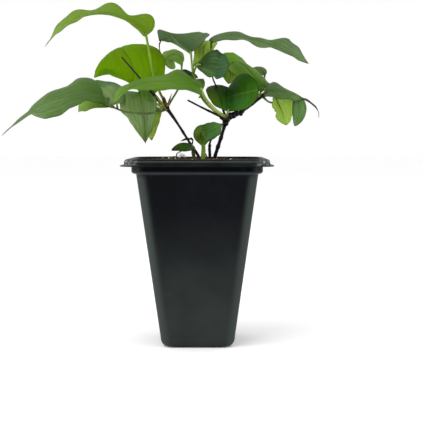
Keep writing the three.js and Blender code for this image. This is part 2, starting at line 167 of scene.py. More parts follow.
def startTree(name, inputs):
    tree = bpy.data.node_groups.new(name, "GeometryNodeTree")
    kinds = {float: "Float", int: "Int", tuple: "Vector", type(None): "Material"}
    newSocket = tree.interface.new_socket
    newSocket("Geometry", in_out="OUTPUT", socket_type="NodeSocketGeometry")
    newSocket("Geometry", in_out="INPUT", socket_type="NodeSocketGeometry")
    for label, value in inputs.items():
        made = newSocket(label, in_out="INPUT", socket_type="NodeSocket" + kinds[type(value)])
        if value is not None:
            made.default_value = value
    given = tree.nodes.new("NodeGroupInput").outputs
    return tree, {socket.name: Wire(socket) for socket in given}


def join(*parts):
    made = addNode(treeOf(parts), "GeometryNodeJoinGeometry")
    for part in parts:
        feed(made.inputs[0], part)
    return Wire(made.outputs[0])


def endTree(tree, geometry, material):
    smooth = nodeOut(tree, "GeometryNodeSetShadeSmooth", {"Geometry": geometry})
    real = nodeOut(tree, "GeometryNodeRealizeInstances", {"Geometry": smooth})
    coated = nodeOut(tree, "GeometryNodeSetMaterial", {"Geometry": real, "Material": material})
    feed(tree.nodes.new("NodeGroupOutput").inputs[0], coated)


def store(geometry, name, value, kind="FLOAT"):
    return nodeOut(treeOf([geometry]), "GeometryNodeStoreNamedAttribute", {
        "Geometry": geometry, "Name": name, "Value": value}, data_type=kind, domain="POINT")


def moved(geometry, place=None, offset=(0.0, 0.0, 0.0)):
    feeds = {"Geometry": geometry, "Offset": offset}
    if place:
        feeds["Position"] = place
    return nodeOut(treeOf([geometry]), "GeometryNodeSetPosition", feeds)


def recall(tree, name):
    return nodeOut(tree, "GeometryNodeInputNamedAttribute", {"Name": name}, data_type="FLOAT")


def sweep(tree, line, ring):
    return nodeOut(tree, "GeometryNodeCurveToMesh", {
        "Curve": line, "Profile Curve": ring, "Scale": recall(tree, "thickness"), "Fill Caps": True})


def finishPiece(piece, node):
    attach(piece, "root")
    if node:
        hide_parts(node)


def grow(name, host, tree, values):
    scaffold = bpy.data.objects.new(name + "Scaffold", host)
    scene.collection.objects.link(scaffold)
    modifier = scaffold.modifiers.new("grow", "NODES")
    modifier.node_group = tree
    casts = {"NodeSocketFloat": float, "NodeSocketVector": lambda sides: tuple(map(float, sides))}
    for item in tree.interface.items_tree:
        if item.in_out == "INPUT" and item.name in values:
            cast = casts.get(item.socket_type, lambda value: value)
            modifier[item.identifier] = cast(values[item.name])
    depsgraph = bpy.context.evaluated_depsgraph_get()
    mesh = bpy.data.meshes.new_from_object(
        scaffold.evaluated_get(depsgraph), preserve_all_data_layers=True, depsgraph=depsgraph)
    scaffold.modifiers.remove(modifier)
    bpy.data.objects.remove(scaffold)
    piece = bpy.data.objects.new(name, mesh)
    scene.collection.objects.link(piece)
    return piece


# paths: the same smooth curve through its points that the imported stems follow
def smoothPath(points, spacing):
    points = [Vector(p) * mm for p in points]
    padded = [2 * points[0] - points[1], *points, 2 * points[-1] - points[-2]]
    dense = []
    fine = 30
    for i in range(len(points) - 1):
        a, b, c, d = padded[i:i + 4]
        for k in range(fine):
            t = k / fine
            dense.append(b * (2 * t**3 - 3 * t**2 + 1) + c * (3 * t**2 - 2 * t**3)
                         + (c - a) * 0.5 * (t**3 - 2 * t**2 + t) + (d - b) * 0.5 * (t**3 - t**2))
    dense.append(points[-1])
    lengths = [0.0]
    for a, b in zip(dense, dense[1:]):
        lengths.append(lengths[-1] + (b - a).length)
    count = max(6, round(lengths[-1] / spacing))
    path = []
    j = 0
    for i in range(count + 1):
        wanted = lengths[-1] * i / count
        while j < len(dense) - 2 and lengths[j + 1] < wanted:
            j += 1
        share = (wanted - lengths[j]) / max(1e-9, lengths[j + 1] - lengths[j])
        path.append(dense[j].lerp(dense[j + 1], share))
    return path


def radiusAt(radii, share, knots=()):
    place = share * (len(radii) - 1)
    low = min(len(radii) - 2, int(place))
    radius = radii[low] + (radii[low + 1] - radii[low]) * (place - low)
    for middle, swell, reach in knots:  # place along 0-1, growth in mm, half length 0-1
        radius += swell * math.exp(-((share - middle) / reach) ** 2)
    return radius * mm


def girthsAlong(path, radii, share, knots):
    count = len(path) - 1
    return [radiusAt(radii, i / count, knots) * share for i in range(count + 1)]


def threadMesh(name, threads, lumps=()):
    verts, edges, thickness = [], [], []
    for path, girths in threads:
        first = len(verts)
        verts += path
        thickness += girths
        edges += [(first + i, first + i + 1) for i in range(len(path) - 1)]
    lump = [0.0] * len(verts) + [size * mm for _, size in lumps]
    verts += [Vector(place) * mm for place, _ in lumps]
    thickness += [0.0] * len(lumps)
    mesh = bpy.data.meshes.new(name)
    mesh.from_pydata(verts, edges, [])
    for label, values in (("thickness", thickness), ("lump", lump)):
        mesh.attributes.new(label, "FLOAT", "POINT").data.foreach_set("value", values)
    return mesh


# material helpers
def startMaterial(name):
    material = bpy.data.materials.new(name)
    material.use_nodes = True
    tree = material.node_tree
    tree.nodes.clear()
    return material, tree, nodeOut(tree, "ShaderNodeTexCoord", out="Object")


def endMaterial(shader):
    addNode(treeOf([shader]), "ShaderNodeOutputMaterial", {"Surface": shader})


def coat(skin, rough, gloss, normal=None):
    feeds = {"Base Color": skin, "Roughness": rough, "Specular IOR Level": gloss}
    if normal:
        feeds["Normal"] = normal
    return nodeOut(treeOf([skin]), "ShaderNodeBsdfPrincipled", feeds)


def attributeOf(tree, name, out="Fac"):
    return nodeOut(tree, "ShaderNodeAttribute", out=out, attribute_name=name)


def ramp(value, low, high, first=0.0, second=1.0):
    feeds = {"Value": value, "From Min": low, "From Max": high, "To Min": first, "To Max": second}
    return nodeOut(treeOf([value]), "ShaderNodeMapRange", feeds, "Result", interpolation_type="SMOOTHSTEP")


def stretched(place, scale):
    return nodeOut(treeOf([place]), "ShaderNodeMapping", {"Vector": place, "Scale": scale})


def bumpOf(height, distance, strength):
    feeds = {"Height": height, "Distance": distance, "Strength": strength}
    return nodeOut(treeOf([height]), "ShaderNodeBump", feeds)


def rgb(hexColour):
    parts = [int(hexColour[i:i + 2], 16) / 255 for i in (0, 2, 4)]
    return tuple((c / 12.92 if c < 0.04045 else ((c + 0.055) / 1.055) ** 2.4) for c in parts) + (1.0,)


def tint(factor, first, second):  # a mix of two colours, each a wire or a hex colour
    colours = [rgb(colour) if isinstance(colour, str) else colour for colour in (first, second)]
    return mix(factor, *colours, kind="RGBA")


# leaf finishes: upper side deep and light, at its base and at its tip, underside, veins, painted shade along
# the margin, strength of the lengthwise ribs in that shade's colour, colour of the light through one skin and
# its share, gloss, leaf stalk and its shaded patches, spots of another tone as the x and z of both their
# ends, reach (mm), colour and strength; some spots are painted light and shade
def leafFinish(**changes):
    common = dict(ribs=0.3, share=0.24, gloss=0.14, stalk="84a044", stalkShade="64822e", spots=())
    return {**common, **changes}


leafFinishes = {
    # the sunlit finish's greyer tip is a painted sheen
    "sunlitGreen": leafFinish(deep="54742c", light="68843c", base="567806", tip="7d9456", under="7a9a3a",
        vein="86a44c", rim="4c6a18", stalk="90b040", stalkShade="7c9a34", glow="c0d264",
        ribs=0.2, share=0.45, gloss=0.05),
    "glowingGreen": leafFinish(deep="487800", light="5c8a00", base="4c7e00", tip="568600", under="6a9420",
        vein="70a010", rim="46660a", glow="bccc00", ribs=0.15, share=0.5, gloss=0.04),
    "freshGreen": leafFinish(deep="466e0a", light="628a20", base="3a6206", tip="648a2e", under="7a9a34",
        vein="6e9838", rim="3e5c1a", stalk="9cb05c", stalkShade="7c9040", glow="9cbc3c", share=0.34,
        spots=(((19.7, 199.2), (25.5, 187), 7.2, "86a83c", 0.8),
               ((25.7, 203.6), (30.9, 196.2), 4.3, "5a8c10", 0.5))),
    "middleGreen": leafFinish(deep="3e5e1a", light="5e7e3c", base="365a0c", tip="687260", under="6a8844",
        vein="64844a", rim="2a4024", glow="86a44a", ribs=0.42, share=0.28, gloss=0.26,
        stalk="5c7440", stalkShade="3a4620",
        spots=(((-72.7, 182.9), (-66.1, 174.3), 8.5, "3c6206", 0.7),
               ((68.4, 203.9), (72.5, 197.4), 4.3, "5c8a34", 0.6),
               ((-98, 174), (-80, 183), 8, "42640c", 0.6))),
    "shadeGreen": leafFinish(deep="2e4f12", light="466828", base="2e500c", tip="485f34", under="607c40",
        vein="567844", rim="263a20", glow="7c9c40", gloss=0.2, stalk="88a45a"),
    "hangingGreen": leafFinish(deep="688450", light="829c6c", base="76963e", tip="587428", under="6e8a4e",
        vein="74905e", rim="33482a", glow="ccdca0", ribs=0.5, share=0.44,
        # the first three spots are painted light and shade: a pool of light, a shaded left lobe and a dark
        # shadow spot
        spots=(((-41.2, 177.0), (-33.0, 174.3), 5.0, "5e8c1c", 0.8),
               ((-48.7, 177.0), (-44.6, 174.3), 4.3, "527456", 0.6),
               ((-33.0, 171.6), (-31.0, 170.9), 2.1, "2f5030", 0.5),
               ((-35.2, 159.4), (-36.0, 144.4), 3.5, "4c6c20", 0.5),
               ((-44.0, 168.9), (-40.6, 159.4), 2.1, "84a068", 0.5))),
    "greyGreen": leafFinish(deep="486e32", light="688856", base="527434", tip="4e6c34", under="6e8a4e",
        vein="6e8c56", rim="2e4626", glow="90ac5c", share=0.26,
        spots=(((-62.7, 177.8), (-57.9, 171.5), 7.8, "88a25a", 0.75),
               ((-64.0, 184.7), (-51.5, 184.0), 3.5, "44624a", 0.7))),
    "softGreen": leafFinish(deep="5c8444", light="7a9e68", base="6c963a", tip="64884a", under="6e9452",
        vein="82a868", rim="3e5c30", glow="cfe47c", share=0.45),
    "deepGreen": leafFinish(deep="2c4e18", light="44663a", base="203a04", tip="345828", under="5c7a3c",
        vein="3e6240", rim="1a2c14", glow="5c7c30", ribs=0.5, share=0.2, gloss=0.12,
        spots=(((2.3, 197.0), (5.8, 201.1), 5.7, "243c04", 0.85),
               ((4.4, 192.9), (10.0, 190.1), 2.8, "4e7230", 0.6),
               ((18.3, 199.7), (17.0, 189.4), 4.3, "34543a", 0.6))),
    "darkGreen": leafFinish(deep="1d4400", light="2c5a08", base="3f6612", tip="22480c", under="567a2c",
        vein="34600e", rim="16280a", glow="4c7410", ribs=0.2, share=0.22, gloss=0.05,
        stalk="98ae6c",
        # the first spot is a painted shadow: the dark line of the stem behind the leaf
        spots=(((12.8, 182.5), (17.1, 169.1), 1.7, "1c2808", 0.6),
               ((7.9, 179.0), (11.4, 173.3), 5.0, "4a5a12", 0.7),
               ((21.4, 169.8), (32.8, 171.2), 7.1, "2e6c2c", 0.6),
               ((21.4, 174.7), (41.3, 179.0), 0.9, "4c7c40", 0.5))),
    "basalGreen": leafFinish(deep="385e20", light="4e7e44", base="5e7412", tip="4a7a3c", under="5a8030",
        vein="4e7c3a", rim="24401a", glow="6c9030", ribs=0.35, gloss=0.08, stalk="7c9438",
        spots=(((-0.4, 151.3), (2.3, 145.7), 5.0, "566c14", 0.8),
               ((4.4, 153.4), (5.8, 147.1), 2.8, "34500c", 0.7))),
    "basalDark": leafFinish(deep="244404", light="365c12", base="4a5440", tip="060804", under="3c5a1e",
        vein="34561a", rim="10180a", glow="4c7410", gloss=0.06,
        stalk="66724c", stalkShade="4a5636"),
    "driedBlack": leafFinish(deep="12160a", light="1e2412", base="1a1e10", tip="0e0e0a", under="1c2012",
        vein="20260f", rim="0c0e08", glow="202808", share=0.06, gloss=0.06,
        stalk="262a18", stalkShade="141208"),
    "paleGreen": leafFinish(deep="688a26", light="7e9e34", base="7a9a34", tip="7f9a3c", under="96b63e",
        vein="a0b85a", rim="64822c", glow="c2d84e", share=0.38),
    "backlitGreen": leafFinish(deep="7ea23c", light="90b460", base="88a84a", tip="8aac40", under="95bb53",
        vein="aac878", rim="6c8e38", glow="dcec80", share=0.5),
}
veinPlaces = (0.361, 0.667)  # share of the half blade where the long side veins run
leafSkin = dict(
    midVein=(0.2, 0.6), sideVein=(0.08, 0.4), margin=(0.2, 1.1),  # full and no strength, mm from the line
    net=(230.0, 0.12), fineNet=(900.0, 0.16),  # cells in a metre, width of their lines
    mottle=95.0, broad=28.0, streaks=(90.0, 850.0, 300.0), grain=1500.0, toneSpan=(0.57, 1.03),
    # share of the length where a tone starts and ends, with its strength there
    baseTone=(0.05, 0.45, 0.85, 0.0), tipTone=(0.55, 1.0), footTone=(0.0, 0.16, 1.0, 0.0),
    ribCount=4.5, ribWander=0.9, ribWidth=(0.0015, 0.004),  # half blade, in metres, where ribs set in
    # the brown tip: share of the length and half width in metres, for the point and for a drawn-out one
    tipMost=((0.93, 1.0), (0.0035, 0.0008)), drawnOut=((0.55, 0.75), (0.0016, 0.0007)),
    dried="3b342a", foot=("4e3a1c", "667030"), stalkPatch=160.0,
    relief=0.22, reliefStrength=0.7, rough=0.36, mottleRough=0.16, underRough=0.16,
)


def spotMask(place, start, end, reach, colour, strength):
    flat = vec("MULTIPLY", place, (1.0, 0.0, 1.0))
    run = Vector((end[0] - start[0] + 0.01, 0.0, end[1] - start[1])) * mm
    away = vec("SUBTRACT", flat, tuple(Vector((start[0], 0.0, start[1])) * mm))
    share = calc("DIVIDE", vec("DOT_PRODUCT", away, tuple(run), out="Value"), run.length_squared, clamp=True)
    gap = vec("LENGTH", vec("SUBTRACT", away, vec("SCALE", tuple(run), share)), out="Value")
    return ramp(gap, 0.0, reach * mm, strength, 0.0), colour


def leafMaterial(name, finish):
    s = leafSkin
    material, tree, place = startMaterial(name)
    under, stalk, along = (attributeOf(tree, label) for label in ("under", "stalk", "along"))
    onward, sideways, half = split(attributeOf(tree, "leafMap", "Vector"))
    sideDistance = calc("ABSOLUTE", sideways)

    def lineAt(gap, reach, strength):
        return ramp(gap, reach[0] * mm, reach[1] * mm, strength, 0.0)

    veins = lineAt(sideDistance, s["midVein"], 1.0)
    for share in veinPlaces:
        veins = most(veins, lineAt(calc("ABSOLUTE", sideDistance - half * share), s["sideVein"], 0.6))

    # the net of small veins leaves the midrib forwards
    slanted = combine((onward - sideDistance * 0.8) * 1.2, sideways, half)

    def netOf(scale, width):
        edge = nodeOut(tree, "ShaderNodeTexVoronoi", {"Vector": slanted, "Scale": scale}, "Distance",
                       feature="DISTANCE_TO_EDGE", voronoi_dimensions="2D")
        return ramp(edge, 0.0, width, 1.0, 0.0)

    netLine = netOf(*s["net"])
    mottle = noiseOf(place, s["mottle"], 4.0, 0.6)
    streakPlace = combine(*(part * scale for part, scale in zip((onward, sideways, half), s["streaks"])))
    tone = mottle * 0.5 + noiseOf(place, s["broad"], 2.0) * 0.6
    tone = ramp(noiseOf(streakPlace, 1.0, 3.0, 0.6) * 0.5 + tone, *s["toneSpan"])
    top = tint(tone, finish["deep"], finish["light"])
    top = tint(ramp(along, *s["baseTone"]), top, finish["base"])
    top = tint(ramp(along, *s["tipTone"]), top, finish["tip"])
    ribPlace = sideDistance / half * s["ribCount"] + noiseOf(streakPlace, 0.35, 1.0) * s["ribWander"]
    ribs = ramp(calc("COSINE", ribPlace * (2 * math.pi)), 0.0, 1.0, 0.0, finish["ribs"])
    top = tint(ribs * ramp(half, *s["ribWidth"]), top, finish["rim"])
    lined = calc("ADD", veins * 0.55, netLine * 0.14, clamp=True)
    top = tint(lined, top, finish["vein"])
    masks = [spotMask(place, *spot) for spot in finish["spots"]]
    for mask, colour in masks:
        top = tint(mask, top, colour)
    below = tint(mottle * 0.45, finish["under"], finish["light"])
    skin = tint(under, top, tint(lined, below, finish["vein"]))
    # painted shade: a dark line along the margin, where the edge curves away from the light
    skin = tint(lineAt(half - sideDistance, s["margin"], 0.6), skin, finish["rim"])
    driedParts = [ramp(along, *lengths) * ramp(half, *widths)
                  for lengths, widths in (s["tipMost"], s["drawnOut"])]
    skin = tint(most(*driedParts), skin, s["dried"])

    stalkTone = ramp(noiseOf(place, s["stalkPatch"]), 0.35, 0.7)
    stalkSkin = tint(stalkTone, finish["stalkShade"], finish["stalk"])
    stalkSkin = tint(ramp(along, *s["footTone"]), stalkSkin, tint(stalkTone, *s["foot"]))
    skin = tint(stalk, skin, stalkSkin)

    glow = tint(1.0 - lined * 0.45, finish["deep"], finish["glow"])
    for mask, colour in masks:
        glow = tint(mask * 0.6, glow, colour)
    glow = tint(stalk, glow, stalkSkin)

    height = veins * -0.8 + netLine * -0.4 + netOf(*s["fineNet"]) * -0.12
    height = height * (1.0 - under * 2.0) + noiseOf(place, s["grain"], 2.0) * 0.12
    relief = bumpOf(height, s["relief"] * mm, s["reliefStrength"])
    rough = mottle * s["mottleRough"] + s["rough"] + under * s["underRough"]
    body = coat(skin, rough, finish["gloss"], relief)
    through = nodeOut(tree, "ShaderNodeBsdfTranslucent", {"Color": glow})
    endMaterial(nodeOut(tree, "ShaderNodeMixShader", {0: finish["share"], 1: body, 2: through}))
    return material


# leaf: one blade along a curved midrib, with its stalk
leafShape = dict(
    thickness=0.36, narrowest=0.2, veinDepth=0.3, veinWidth=0.55, pucker=0.38, cell=5.0,
    wander=0.05, arch=0.09, crease=1.2, fineStep=0.72, ribTip=0.12, stalkShare=0.88,
    lobeLength=0.07, phaseGap=0.17, stepsAlong=(28, 120), stepsAcross=(24, 73),
    humpPlaces=(0.08, 0.22, 0.36, 0.5, 0.65, 0.8), humpReach=0.08,
    stalkRadii=(0.8, 0.8, 0.72), stalkStep=0.8, rooting=2.2,
    stalkKnots=((0.0, 0.25, 0.06), (1.0, 0.12, 0.08)),
    sunkVeins=((0.0, 1.0), (veinPlaces[0], 0.8), (veinPlaces[1], 0.6)),
)


def leafTree():
    tree, take = startTree("clematisLeaf", {
        "Base": (0.0, 0.0, 0.0), "Base Handle": (0.0, 0.0, 0.01),
        "Tip Handle": (0.0, 0.0, 0.02), "Tip": (0.0, 0.0, 0.03),
        "Width": 0.03, "Widest": 0.35, "Plump": 0.5, "Lobes": 0.05,
        "Face Base": (0.0, -1.0, 0.0), "Face Tip": (0.0, -1.0, 0.0),
        "Fold Left": 0.0, "Fold Right": 0.0, "Half Left": 1.0, "Half Right": 1.0,
        "Wave Height": 0.001, "Wave Count": 1.0, "Wave Start": 0.0, "Drip": 0.0, "Tail": 0.0,
        **{f"{what} {side} {part}": (0.0, 0.0, 0.0)
           for what in ("Lift", "Swell") for side in ("Left", "Right") for part in ("Early", "Late")},
        "Thickness": 0.0004, "Narrowest": 0.0002, "Vein Depth": 0.0002, "Vein Width": 0.0005,
        "Pucker": 0.0003, "Cell": 0.005, "Wander": 0.05, "Arch": 0.08, "Crease": 0.0012,
        "Steps Along": 90, "Steps Across": 72, "Rib Base": 0.0007, "Rib Tip": 0.0001,
        "Seed": 0.0, "Material": None,
    })
    spine = nodeOut(tree, "GeometryNodeCurvePrimitiveBezierSegment", {
        "Resolution": 64, "Start": take["Base"], "Start Handle": take["Base Handle"],
        "End Handle": take["Tip Handle"], "End": take["Tip"]})
    length = nodeOut(tree, "GeometryNodeCurveLength", {0: spine})
    position = nodeOut(tree, "GeometryNodeInputPosition")

    # an upper and a lower skin that meet along the margin
    grid = nodeOut(tree, "GeometryNodeMeshGrid", {
        "Size X": 1.0, "Size Y": 2.0, "Vertices X": take["Steps Along"], "Vertices Y": take["Steps Across"]})
    lengthwise, crosswise, _ = split(position)
    turn = (lengthwise + 0.5) * math.pi
    grid = store(grid, "along", (1.0 - calc("COSINE", turn)) * 0.5)
    grid = store(grid, "across", crosswise)
    upper = nodeOut(tree, "GeometryNodeFlipFaces", {0: store(grid, "under", 0.0)})
    skins = join(upper, store(grid, "under", 1.0))

    u = recall(tree, "along")
    v = recall(tree, "across")
    side = calc("SIGN", v)
    out = calc("ABSOLUTE", v)
    isLeft = calc("LESS_THAN", v, 0.0)
    rest = 1.0 - u
    bells = [bell((u - place) / leafShape["humpReach"]) for place in leafShape["humpPlaces"]]

    def calmBy(share, ends):  # rises from none to all near each end of the blade
        return least(1.0, u * share) * least(1.0, rest * ends)

    def humps(what):  # six bells along each half of the blade, each with its own height
        sums = []
        for hand in ("Right", "Left"):
            heights = [*split(take[f"{what} {hand} Early"]), *split(take[f"{what} {hand} Late"])]
            sums.append(sum(each * tall for each, tall in zip(bells, heights)))
        return mix(isLeft, *sums)

    # half width, with a slightly uneven margin and a thin drip tip
    bodyPlace = least(1.0, u / (1.0 - take["Drip"]))
    near = most(bodyPlace, 1e-6) / take["Widest"]
    restWidest = 1.0 - take["Widest"]
    far = most(1.0 - bodyPlace, 1e-6) / restWidest
    fall = take["Plump"] * restWidest / take["Widest"]
    shape = near ** take["Plump"] * far ** fall
    share = mix(isLeft, take["Half Right"], take["Half Left"])
    uneven = noiseOf(combine(u * 7.0, isLeft * 9.0, take["Seed"]), 1.0, 3.0, 0.5) - 0.5
    uneven = uneven * calmBy(7.0, 7.0) * (take["Wander"] * 2.0) + 1.0
    half = take["Width"] * 0.5 * (shape * share) * uneven * (1.0 + humps("Swell"))
    tail = least(1.0, rest / most(take["Drip"], 0.001)) ** 0.6 * take["Tail"]
    half = most(take["Narrowest"], calc("SQRT", half * half + tail * tail))

    # the basal lobes reach back behind the stalk
    early = u / leafShape["lobeLength"]
    reach = early * calc("EXPONENT", 1.0 - early)
    spot = u - take["Lobes"] * reach * out
    kept = least(1.0, most(0.0, spot))
    sample = addNode(tree, "GeometryNodeSampleCurve", {"Curves": spine, "Factor": kept}, mode="FACTOR")
    tangent = vec("NORMALIZE", Wire(sample.outputs["Tangent"]))
    beyond = (spot - kept) * length
    hint = mix(kept, take["Face Base"], take["Face Tip"], "VECTOR")
    across = vec("NORMALIZE", vec("CROSS_PRODUCT", tangent, hint))
    up = vec("CROSS_PRODUCT", across, tangent)

    # height over the flat: fold, arch of each half, rippled margin, sunk veins, raised cells
    fold = mix(isLeft, take["Fold Right"], take["Fold Left"])
    w = half * out
    crease = take["Crease"]
    lift = (calc("SQRT", w * w + crease * crease) - crease) * calc("SINE", fold)
    bulge = w * (1.0 - out) * (take["Arch"] * 4.0)
    phase = take["Wave Count"] * u + take["Wave Start"] + side * leafShape["phaseGap"]
    calm = calmBy(6.0, 5.0)
    ripple = take["Wave Height"] * (out * out) * (calm * calc("SINE", phase * (2 * math.pi)))
    grooves = (bell((out - middle) * half / take["Vein Width"]) * depth
               for middle, depth in leafShape["sunkVeins"])
    sunk = sum(grooves) * take["Vein Depth"] * calm
    onward = u * length
    sideways = v * half
    cellPlace = combine(onward - w * 0.8, sideways, take["Seed"] * 0.01)
    cellPlace = vec("SCALE", cellPlace, calc("DIVIDE", 1.0, take["Cell"]))
    cells = nodeOut(tree, "ShaderNodeTexVoronoi", {"Vector": cellPlace, "Scale": 1.0, "Smoothness": 0.6},
                    "Distance", feature="SMOOTH_F1")
    raised = (0.45 - cells) * (take["Pucker"] * calm)
    thick = take["Thickness"] * 0.5 * (1.0 - out ** 6.0) * calmBy(40.0, 40.0)
    facing = recall(tree, "under") * -2.0 + 1.0
    height = lift + bulge + (ripple + raised) + humps("Lift") * (out * out) - sunk + thick * facing
    point = vec("ADD", Wire(sample.outputs["Position"]), vec("SCALE", tangent, beyond))
    point = vec("ADD", point, vec("SCALE", across, w * side * calc("COSINE", fold)))
    point = vec("ADD", point, vec("SCALE", up, height))
    mapped = store(skins, "leafMap", combine(onward, sideways, half), "FLOAT_VECTOR")
    inwards = least(1.0 - out, least(u, rest))
    blade = nodeOut(tree, "GeometryNodeMergeByDistance", {
        "Geometry": moved(mapped, point), "Selection": calc("LESS_THAN", inwards, 1e-5), "Distance": 1e-6})

    # midrib: a tapering cord under the blade
    rib = nodeOut(tree, "GeometryNodeResampleCurve", {"Curve": spine, "Count": 60})
    factor = nodeOut(tree, "GeometryNodeSplineParameter", out="Factor")
    radius = mix(factor ** 0.6, take["Rib Base"], take["Rib Tip"])
    ribTangent = nodeOut(tree, "GeometryNodeInputTangent")
    ribHint = mix(factor, take["Face Base"], take["Face Tip"], "VECTOR")
    ribAcross = vec("NORMALIZE", vec("CROSS_PRODUCT", ribTangent, ribHint))
    ribUp = vec("CROSS_PRODUCT", ribAcross, ribTangent)
    rib = store(store(rib, "thickness", radius), "along", factor + 0.3)
    rib = moved(rib, offset=vec("SCALE", ribUp, radius * -1.1))

    # stalk: the thread that the object brings in
    stalk = nodeOut(tree, "GeometryNodeMeshToCurve", {0: take["Geometry"]})
    stalk = store(stalk, "along", factor)
    ring = nodeOut(tree, "GeometryNodeCurvePrimitiveCircle", {"Resolution": 14, "Radius": 1.0})
    ridges = calc("COSINE", factor * (10 * math.pi)) * 0.05 + 1.0
    ring = moved(ring, vec("SCALE", position, ridges))
    tubes = [store(store(sweep(tree, line, ring), "stalk", 1.0), "under", 1.0) for line in (rib, stalk)]
    endTree(tree, join(blade, *tubes), take["Material"])
    return tree


